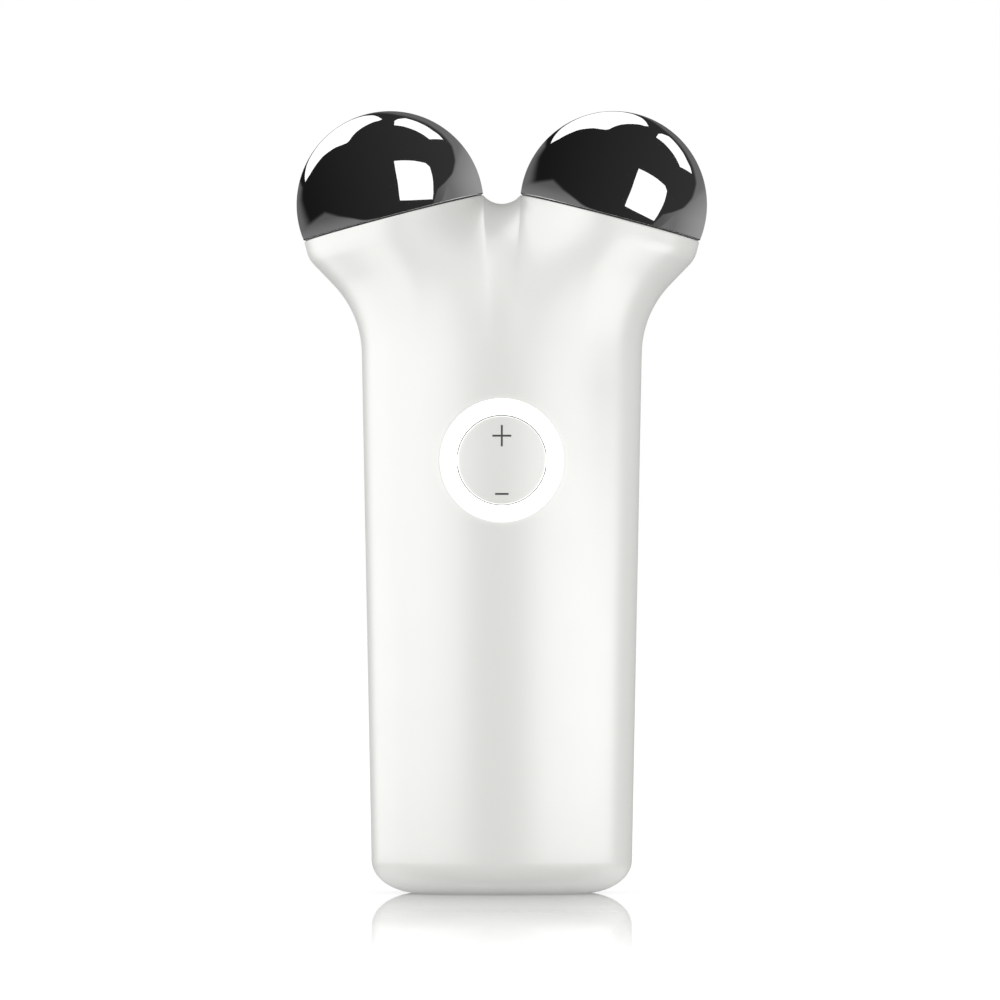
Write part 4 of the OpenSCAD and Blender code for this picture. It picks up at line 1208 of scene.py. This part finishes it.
@dataclass(frozen=True)
class ChromeView:
    """What one mirror sphere shows to the front: outlines in sphere radii, on axes that lean with the sphere.

    a runs across the sphere and b up it. A direction is set by its reflection at the sphere's point (a, b), so a card
    at that place in space gives the wanted outline on the plating.
    """

    window: tuple[tuple[float, float], ...] = (
        (.117, -.012), (.21, -.034), (.315, -.055), (.39, -.070), (.455, -.083), (.478, -.020), (.493, .040),
        (.505, .095), (.512, .145), (.513, .200), (.511, .258), (.478, .308), (.425, .335), (.372, .359),
        (.315, .378), (.247, .396), (.160, .412), (.150, .310), (.145, .240), (.142, .190), (.137, .145),
        (.130, .097), (.121, .033))
    window_middle: tuple[float, float] = (0.315, 0.160)
    big_outer: tuple[tuple[float, float], ...] = (
        (151.0, .930), (148.0, .950), (145.0, .964), (140.0, .981), (135.0, .987), (125.0, .991), (110.0, .992),
        (100.0, .990), (92.0, .982), (86.0, .962), (83.0, .935), (80.5, .902))
    big_inner: tuple[tuple[float, float], ...] = (
        (151.0, .930), (145.0, .903), (140.0, .891), (135.0, .879), (130.0, .868), (125.0, .848), (120.0, .829),
        (115.0, .801), (111.0, .784), (108.0, .790), (105.0, .812), (100.0, .839), (95.0, .858), (90.0, .874),
        (86.0, .886), (83.0, .888), (80.5, .902))
    small_outer: tuple[tuple[float, float], ...] = (
        (72.0, .880), (70.0, .903), (65.0, .926), (60.0, .922), (55.0, .917), (50.0, .912), (45.0, .902),
        (40.0, .900), (35.5, .888))
    small_inner: tuple[tuple[float, float], ...] = (
        (72.0, .832), (70.0, .832), (65.0, .831), (60.0, .825), (55.0, .820), (50.0, .813), (45.0, .804),
        (43.5, .800), (35.5, .888))
    grey_edge: tuple[tuple[float, float], ...] = (
        (-.30, .36), (-.17, .42), (-.06, .485), (.007, .526), (.059, .622), (.1425, .7265), (.2535, .776),
        (.293, .785), (.40, .83), (.60, .80))
    band_start: tuple[tuple[float, float], ...] = (
        (-20.0, .50), (0.0, .60), (18.0, .816), (20.5, .835), (28.4, .89), (38.6, .913), (50.0, .925), (60.0, .93),
        (70.0, .94), (80.0, .965), (90.0, .985), (150.0, .985), (155.0, .93), (163.0, .915), (169.7, .882),
        (176.5, .852), (190.0, .85))
    low_edge: tuple[tuple[float, float], ...] = (
        (-1.0, .0), (-.8665, .0335), (-.69, .095), (-.557, .009), (-.338, -.098), (-.1, -.17), (.3, -.25))

    def shade(self, a: Array, b: Array) -> Array:
        """Brightness of the surroundings at (a, b), apart from the white windows.

        A dark room that brightens a little to the right, a grey zone right of an edge, a grey zone under an edge on
        the left, and a soft band near the sphere's outline.

        Args:
            a: place across the sphere.
            b: place up the sphere.

        Returns:
            Linear brightness.
        """
        rho = np.hypot(a, b)
        theta = np.degrees(np.arctan2(b, a))
        theta = np.where(theta < -90, theta + 360, theta)
        dark = 0.009 + 0.021 * np.clip((a + 0.8) / 1.5, 0, 1)
        grey = np.array(self.grey_edge)
        edge = np.interp(b, grey[:, 0], grey[:, 1])
        soft = np.interp(b, [-0.1, 0.06, 0.2, 0.4], [0.012, 0.014, 0.05, 0.12])
        right = smooth((a - edge) / soft)
        tone = np.interp(a, [.40, .55, .65, .75, .85, .95], [.065, .095, .135, .195, .25, .295])
        tone = tone - 0.22 * np.clip(b - 0.05, 0, 0.5)
        start = np.array(self.band_start)
        start_rho = np.interp(theta, start[:, 0], start[:, 1])
        band_soft = np.interp(theta, [30, 60, 100, 140, 155, 175], [.03, .03, .012, .012, .05, .12])
        band = smooth((rho - start_rho) / band_soft)
        band_tone = np.interp(theta, [20, 45, 60, 80, 100, 140, 155, 180], [.15, .13, .12, .10, .10, .11, .12, .13])
        low = np.array(self.low_edge)
        low_b = np.interp(a, low[:, 0], low[:, 1])
        under = smooth((low_b - b) / np.interp(a, [-.9, -.69, -.4], [0.06, 0.05, 0.02])) * (a < 0.2)
        low_tone = np.interp(b, [-.30, -.15, -.08, 0.0, .1], [.20, .19, .155, .10, .085])
        value = dark + (band_tone - dark) * band
        value = value + (np.maximum(tone, value) - value) * right
        value = value + (np.maximum(low_tone, value) - value) * under
        return value + (0.015 - value) * smooth((-0.165 - b) / 0.03)

    def window_grid(self) -> tuple[Array, Array]:
        """Places (a, b) over the large window: rings from its middle out to its outline."""
        rim = np.array(self.window + self.window[:1])
        fine = np.linspace(0, len(self.window), 4 * len(self.window) + 1)
        rim = np.stack([np.interp(fine, np.arange(len(rim)), rim[:, i]) for i in (0, 1)], axis=-1)
        reach = np.linspace(0, 1, 7)[:, None, None]
        flat = np.array(self.window_middle) * (1 - reach) + rim * reach
        return flat[..., 0], flat[..., 1]

    @staticmethod
    def strip_grid(outer: tuple[tuple[float, float], ...], inner: tuple[tuple[float, float], ...]
                   ) -> tuple[Array, Array]:
        """Places (a, b) over a curved strip between two outlines, each evenly spaced along its length.

        Args:
            outer: points of the outer outline, as degrees and sphere radii.
            inner: points of the inner outline, in the same way.

        Returns:
            a and b of each place.
        """
        f = np.linspace(0, 1, 60)
        rows = []
        for line in (np.array(outer), np.array(inner)):
            length = np.concatenate([[0], np.cumsum(np.hypot(np.diff(line[:, 0]), 60 * np.diff(line[:, 1])))])
            along = f * length[-1]
            rows.append((np.interp(along, length, line[:, 0]), np.interp(along, length, line[:, 1])))
        mixer = np.linspace(0, 1, 7)[:, None]
        angle = np.radians(rows[0][0] * (1 - mixer) + rows[1][0] * mixer)
        radius = rows[0][1] * (1 - mixer) + rows[1][1] * mixer
        return radius * np.cos(angle), radius * np.sin(angle)


@dataclass
class ChromeSurroundings:
    """Dome and white windows that only one sphere sees."""

    size: DeviceSize
    side: int
    eye: tuple[float, float, float]
    view: ChromeView = ChromeView()
    dist: float = 1200.0
    white: float = 1.15

    def place(self, a: Array, b: Array, dist: float) -> Array:
        """The point in space that the sphere shows at (a, b).

        The view direction d meets the sphere at the point with the normal n = (x, -sqrt(1 - x^2 - z^2), z) and goes
        on along d - 2 (d n) n for the given distance.

        Args:
            a: place across the sphere, in radii.
            b: place up the sphere, in radii.
            dist: distance from the sphere, in millimetres.

        Returns:
            Points in millimetres.
        """
        t = self.size.head_tilt
        x = a * math.cos(t) + self.side * b * math.sin(t)
        z = b * math.cos(t) - self.side * a * math.sin(t)
        n = np.stack([x, -np.sqrt(np.clip(1 - x * x - z * z, 1e-6, None)), z], axis=-1)
        centre = np.array([self.side * self.size.sphere_x, 0.0, self.size.sphere_z])
        point = centre + self.size.ball_r * n
        d = point - np.array(self.eye)
        d = d / np.linalg.norm(d, axis=-1, keepdims=True)
        out = d - 2 * np.sum(d * n, axis=-1, keepdims=True) * n
        return point + dist * out

    def build(self, sphere: bpy.types.Object) -> None:
        """Builds the dome and its three windows for a sphere."""
        tag = "left" if self.side < 0 else "right"
        theta, rho = np.meshgrid(np.radians(np.linspace(-180, 180, 361)),
                                 np.concatenate([np.linspace(0, 0.9, 91), np.linspace(0.9, 0.9995, 61)[1:]]))
        a, b = rho * np.cos(theta), rho * np.sin(theta)
        points = self.place(a, b, self.dist * 1.04)
        dome = shaded_grid(f"surroundings_{tag}", points, self.view.shade(a, b))
        s = Shader(dome.name)
        level = s.node("ShaderNodeAttribute", {"attribute_name": "shade"}, out="Fac")
        light_up(dome, s, level * 1.06, [sphere])
        v = self.view
        for name, (a, b) in (("window", v.window_grid()), ("arc", v.strip_grid(v.big_outer, v.big_inner)),
                             ("bar", v.strip_grid(v.small_outer, v.small_inner))):
            patches = Patches()
            patches.grid(self.place(a, b, self.dist))
            card = patches.build(f"{name}_{tag}")
            light_up(card, Shader(f"{name}_{tag}"), self.white, [sphere])


@dataclass(frozen=True)
class SoftBox:
    """A soft-edged bright patch round the satin pieces: degrees round them and millimetres over their base."""

    azimuth: float
    width: float
    edge: float
    low: float
    high: float
    fade: float
    strength: float

    def light(self, azimuth: Array, height: Array) -> Array:
        """Brightness in the given places: smooth steps at both sides and at both ends.

        Args:
            azimuth: degrees from the front, to the right.
            height: millimetres over the base.

        Returns:
            Linear brightness.
        """
        off = np.abs((azimuth - self.azimuth + 180) % 360 - 180)
        across = smooth((self.width / 2 + self.edge - off) / (2 * self.edge))
        up = smooth((height - self.low + self.fade) / (2 * self.fade))
        down = smooth((self.high + self.fade - height) / (2 * self.fade))
        return self.strength * across * up * down


@dataclass
class SatinSurroundings:
    """Dome with soft boxes that only the satin housing, ring and button reflect."""

    base: float = 0.07
    radius: float = 150.0
    middle: float = 60.0
    boxes: tuple[SoftBox, ...] = (
        SoftBox(-72.0, 116.0, 8.0, -10.0, 300.0, 12.0, 1.65),
        SoftBox(30.0, 40.0, 8.0, -10.0, 86.0, 10.0, 2.1),
        SoftBox(70.0, 40.0, 8.0, -10.0, 66.0, 10.0, 2.1),
        SoftBox(0.0, 400.0, 8.0, -300.0, -22.0, 14.0, 0.3),
        SoftBox(180.0, 190.0, 20.0, -300.0, -30.0, 20.0, 0.5),
        SoftBox(8.0, 36.0, 22.0, 86.0, 300.0, 9.0, 0.85),
    )

    def build(self, pieces: Iterable[bpy.types.Object]) -> bpy.types.Object:
        """Builds the dome round the device.

        Args:
            pieces: the pieces that see it.

        Returns:
            The dome.
        """
        azimuth, lean = np.meshgrid(np.linspace(-180, 180, 181), np.linspace(-90, 90, 91))
        a, h = np.radians(azimuth), np.radians(lean)
        height = self.middle + self.radius * np.sin(h)
        points = np.stack([self.radius * np.sin(a) * np.cos(h), -self.radius * np.cos(a) * np.cos(h), height], axis=-1)
        level = self.base + sum(box.light(azimuth, height) for box in self.boxes)
        obj = shaded_grid("satin_surroundings", points, level)
        s = Shader(obj.name)
        light_up(obj, s, s.node("ShaderNodeAttribute", {"attribute_name": "shade"}, out="Fac"), pieces)
        return obj


def shaded_grid(name: str, points: Array, level: Array) -> bpy.types.Object:
    """A grid whose points carry a brightness in the attribute shade.

    Args:
        name: name of the object.
        points: rows x columns x 3, in millimetres.
        level: brightness of each point.

    Returns:
        The object.
    """
    mesh = bpy.data.meshes.new(name)
    index = np.arange(level.size).reshape(level.shape)
    quads = np.stack([index[:-1, :-1], index[:-1, 1:], index[1:, 1:], index[1:, :-1]], axis=-1).reshape(-1, 4)
    mesh.from_pydata((points.reshape(-1, 3) * MM).tolist(), [], quads.tolist())
    shade = mesh.attributes.new("shade", "FLOAT", "POINT")
    shade.data.foreach_set("value", level.ravel().astype(np.float32))
    obj = bpy.data.objects.new(name, mesh)
    bpy.context.scene.collection.objects.link(obj)
    return obj


def light_up(obj: bpy.types.Object, shader: Shader, strength: Value, pieces: Iterable[bpy.types.Object],
             state: str = "INCLUDE") -> None:
    """Makes a card glow in what reflects it and stay unseen by the camera.

    Args:
        obj: the card.
        shader: its material's node tree.
        strength: how brightly it glows.
        pieces: the pieces that alone see it, or that alone don't when state is EXCLUDE.
        state: INCLUDE or EXCLUDE.
    """
    glow = shader.node("ShaderNodeEmission", inputs={"Color": WHITE, "Strength": strength})
    clear = shader.node("ShaderNodeBsdfTransparent")
    material = shader.finish(shader.node("ShaderNodeAddShader", inputs={0: glow, 1: clear}))
    material.cycles.emission_sampling = "NONE"
    obj.data.materials.append(material)
    hide_from_all_but_gloss(obj)
    link_light(obj, pieces, state)


def hide_from_all_but_gloss(obj: bpy.types.Object) -> None:
    """Hides a card from the camera, diffuse light, shadows and volumes."""
    obj.visible_camera = False
    obj.visible_diffuse = False
    obj.visible_shadow = False
    obj.visible_volume_scatter = False
    obj.visible_transmission = False


def link_light(light: bpy.types.Object, receivers: Iterable[bpy.types.Object], state: str) -> None:
    """Lets a light or a glowing card reach only the given pieces (INCLUDE) or all but these (EXCLUDE)."""
    group = bpy.data.collections.new(f"lit_by_{light.name}")
    for piece in receivers:
        group.objects.link(piece)
    light.light_linking.receiver_collection = group
    for entry in group.collection_objects:
        entry.light_linking.link_state = state


@dataclass
class Studio:
    """Camera, floor, background, lamps and the cards that the spheres reflect."""

    size: DeviceSize
    distance: float = 1500.0
    lens: float = 388.4
    aim_x: float = -0.25
    aim_z: float = 54.6
    lamp_dist: float = 1200.0
    lamp_height: float = 6.0
    lamp_size: tuple[float, float] = (220.0, 1300.0)
    tent_r: float = 4000.0
    ambient: float = 0.9
    mirror_fade: tuple[float, float] = (20.0, 280.0)
    mirror_share: float = 0.78
    floor_glow: float = 0.3
    strips: tuple[tuple[str, float, float], ...] = (
        ("strip_left", -90.0, 2.9), ("strip_front_left", -50.0, 2.15), ("strip_front_right", 50.0, 1.5),
        ("strip_right", 90.0, 3.7))

    def camera(self) -> None:
        """A long lens on the object's front, level with its middle."""
        data = bpy.data.cameras.new("camera")
        data.lens = self.lens
        data.sensor_width = 36.0
        data.clip_end = 20.0
        cam = bpy.data.objects.new("camera", data)
        cam.location = (self.aim_x * MM, -self.distance * MM, self.aim_z * MM)
        cam.rotation_euler = (math.pi / 2, 0.0, 0.0)
        bpy.context.scene.collection.objects.link(cam)
        bpy.context.scene.camera = cam

    def world(self) -> None:
        """White to the camera, a plain soft level for the light it gives; the tent takes its place in reflections."""
        s = Shader("studio", world=True)
        camera, through, gloss = (s.node("ShaderNodeLightPath", out=f"Is {kind} Ray")
                                  for kind in ("Camera", "Transmission", "Glossy"))
        level = self.ambient + camera.at_least(through) * (1.0 - self.ambient)
        back = s.node("ShaderNodeBackground", inputs={"Color": WHITE, "Strength": level * (1.0 - gloss)})
        bpy.context.scene.world = s.finish(back)

    def tent(self, unseen_by: list[bpy.types.Object]) -> None:
        """A white round tent far away, which the floor and the pieces inside reflect, but not the given pieces."""
        patches = Patches()
        profile = arc((0, 0), self.tent_r, -90, 90, 24)
        profile[[0, -1], 0] = 0.0
        patches.grid(revolve(profile, 48), wrap=True)
        obj = patches.build("studio_tent")
        light_up(obj, Shader("studio_tent"), 1.0, unseen_by, "EXCLUDE")

    def lamp(self, name: str, azimuth: float, watts: float) -> bpy.types.Object:
        """Adds a tall soft lamp that faces the device and shows in no reflection.

        Args:
            name: its name.
            azimuth: its direction from the front, to the right, in degrees.
            watts: its power.

        Returns:
            The lamp.
        """
        data = bpy.data.lights.new(name, "AREA")
        data.shape = "RECTANGLE"
        data.size, data.size_y = (side * MM for side in self.lamp_size)
        data.energy = watts
        obj = bpy.data.objects.new(name, data)
        a, h = math.radians(azimuth), math.radians(self.lamp_height)
        out = Vector((math.sin(a) * math.cos(h), -math.cos(a) * math.cos(h), math.sin(h)))
        obj.location = out * (self.lamp_dist * MM) + Vector((0.0, 0.0, self.size.button_z * MM))
        obj.rotation_euler = (-out).to_track_quat("-Z", "Y").to_euler()
        obj.visible_glossy = False
        bpy.context.scene.collection.objects.link(obj)
        return obj

    def floor(self) -> bpy.types.Object:
        """A large pale floor that stays white to the camera, keeps the shadow and mirrors the base faintly."""
        patches = Patches()
        x, y = np.meshgrid(np.linspace(-3000, 3000, 25), np.linspace(-1400, 3000, 23))
        patches.grid(np.stack([x, y, 0 * x], axis=-1))
        obj = patches.build("studio_floor")
        s = Shader("studio_floor")
        px, py, _ = s.axes()
        path = s.node("ShaderNodeLightPath", out="Is Camera Ray")
        mask = (1.0 - (px * px + py * py).root().step(*self.mirror_fade)) * self.mirror_share * path
        base = s.node("ShaderNodeBsdfDiffuse", inputs={"Color": (0.8, 0.8, 0.8, 1.0)})
        glow = s.node("ShaderNodeEmission", inputs={"Color": WHITE, "Strength": path * self.floor_glow})
        pale = s.node("ShaderNodeAddShader", inputs={0: base, 1: glow})
        mirror = s.node("ShaderNodeBsdfGlossy", inputs={"Color": WHITE, "Roughness": 0.03})
        obj.data.materials.append(s.finish(s.node("ShaderNodeMixShader", inputs={0: mask, 1: pale, 2: mirror})))
        return obj


# ---------------------------------------------------------------------------------------------------------------
# assembly
# ---------------------------------------------------------------------------------------------------------------


def dress_cad(frame: dict[str, Any], finishes: dict[str, bpy.types.Material]) -> None:
    """Gives every CAD node that stays the finish that the record names for it.

    Args:
        finishes: materials by slot.
    """
    slot_of = {}
    for part in frame["record"].get("subparts", []):
        slot_of[part.get("node") or part.get("name")] = part.get("material_slot") or part.get("slot")
    for name, obj in frame["nodes"].items():
        slot = slot_of.get(name)
        if slot in finishes:
            obj.data.materials.clear()
            obj.data.materials.append(finishes[slot])
            LOG.info("finish %s on %s", slot, name)


def main() -> None:
    """Builds the pieces in order, dresses them and lights the studio."""
    logging.basicConfig(level=logging.INFO, format="%(message)s")
    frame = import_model()
    scene = bpy.context.scene
    scene.view_settings.view_transform = "Standard"
    size = DeviceSize()
    finishes = {name: finish.material() for name, finish in FINISHES.items()}
    finishes["soft_white"] = SoftTouchFinish().material()
    finishes["plated_chrome"] = ChromeFinish().material()
    finishes["ring_light"] = LightRingFinish().material()
    dress_cad(frame, finishes)

    def place(piece: bpy.types.Object, body: str, slot: str, *nodes: str) -> None:
        """Gives a piece its finish and its body, and hides the CAD nodes that it stands for."""
        piece.data.materials.append(finishes[slot])
        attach(piece, body)
        if nodes:
            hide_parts(*nodes)
        LOG.info("piece %s: %d faces", piece.name, len(piece.data.polygons))

    housing = Housing(size).build()
    place(housing["housing_front"], "device", "soft_white", "front_shell")
    place(housing["housing_rear"], "device", "soft_white", "rear_shell")
    spheres = []
    for side, node in ((-1, "sphere_left"), (1, "sphere_right")):
        spheres.append(ContactSphere(size, side).build())
        spheres[-1].visible_glossy = False
        place(spheres[-1], "device", "plated_chrome", node)
    group = ButtonGroup(size)
    ring, cap = group.build_ring(), group.build_cap()
    place(ring, "device", "ring_light", "light_ring")
    place(cap, "button", "button_white", "button_cap")
    for mark in group.build_marks():
        place(mark, "button", "mark_grey")

    studio = Studio(size)
    studio.camera()
    studio.world()
    floor = studio.floor()
    floor.visible_glossy = False
    satin = [*housing.values(), ring, cap]
    studio.tent([*spheres, *satin])
    SatinSurroundings().build(satin)
    eye = (studio.aim_x, -studio.distance, studio.aim_z)
    for side, sphere in zip((-1, 1), spheres):
        ChromeSurroundings(size, side, eye).build(sphere)
    for strip in studio.strips:
        link_light(studio.lamp(*strip), spheres, "EXCLUDE")


if __name__ == "__main__":
    main()
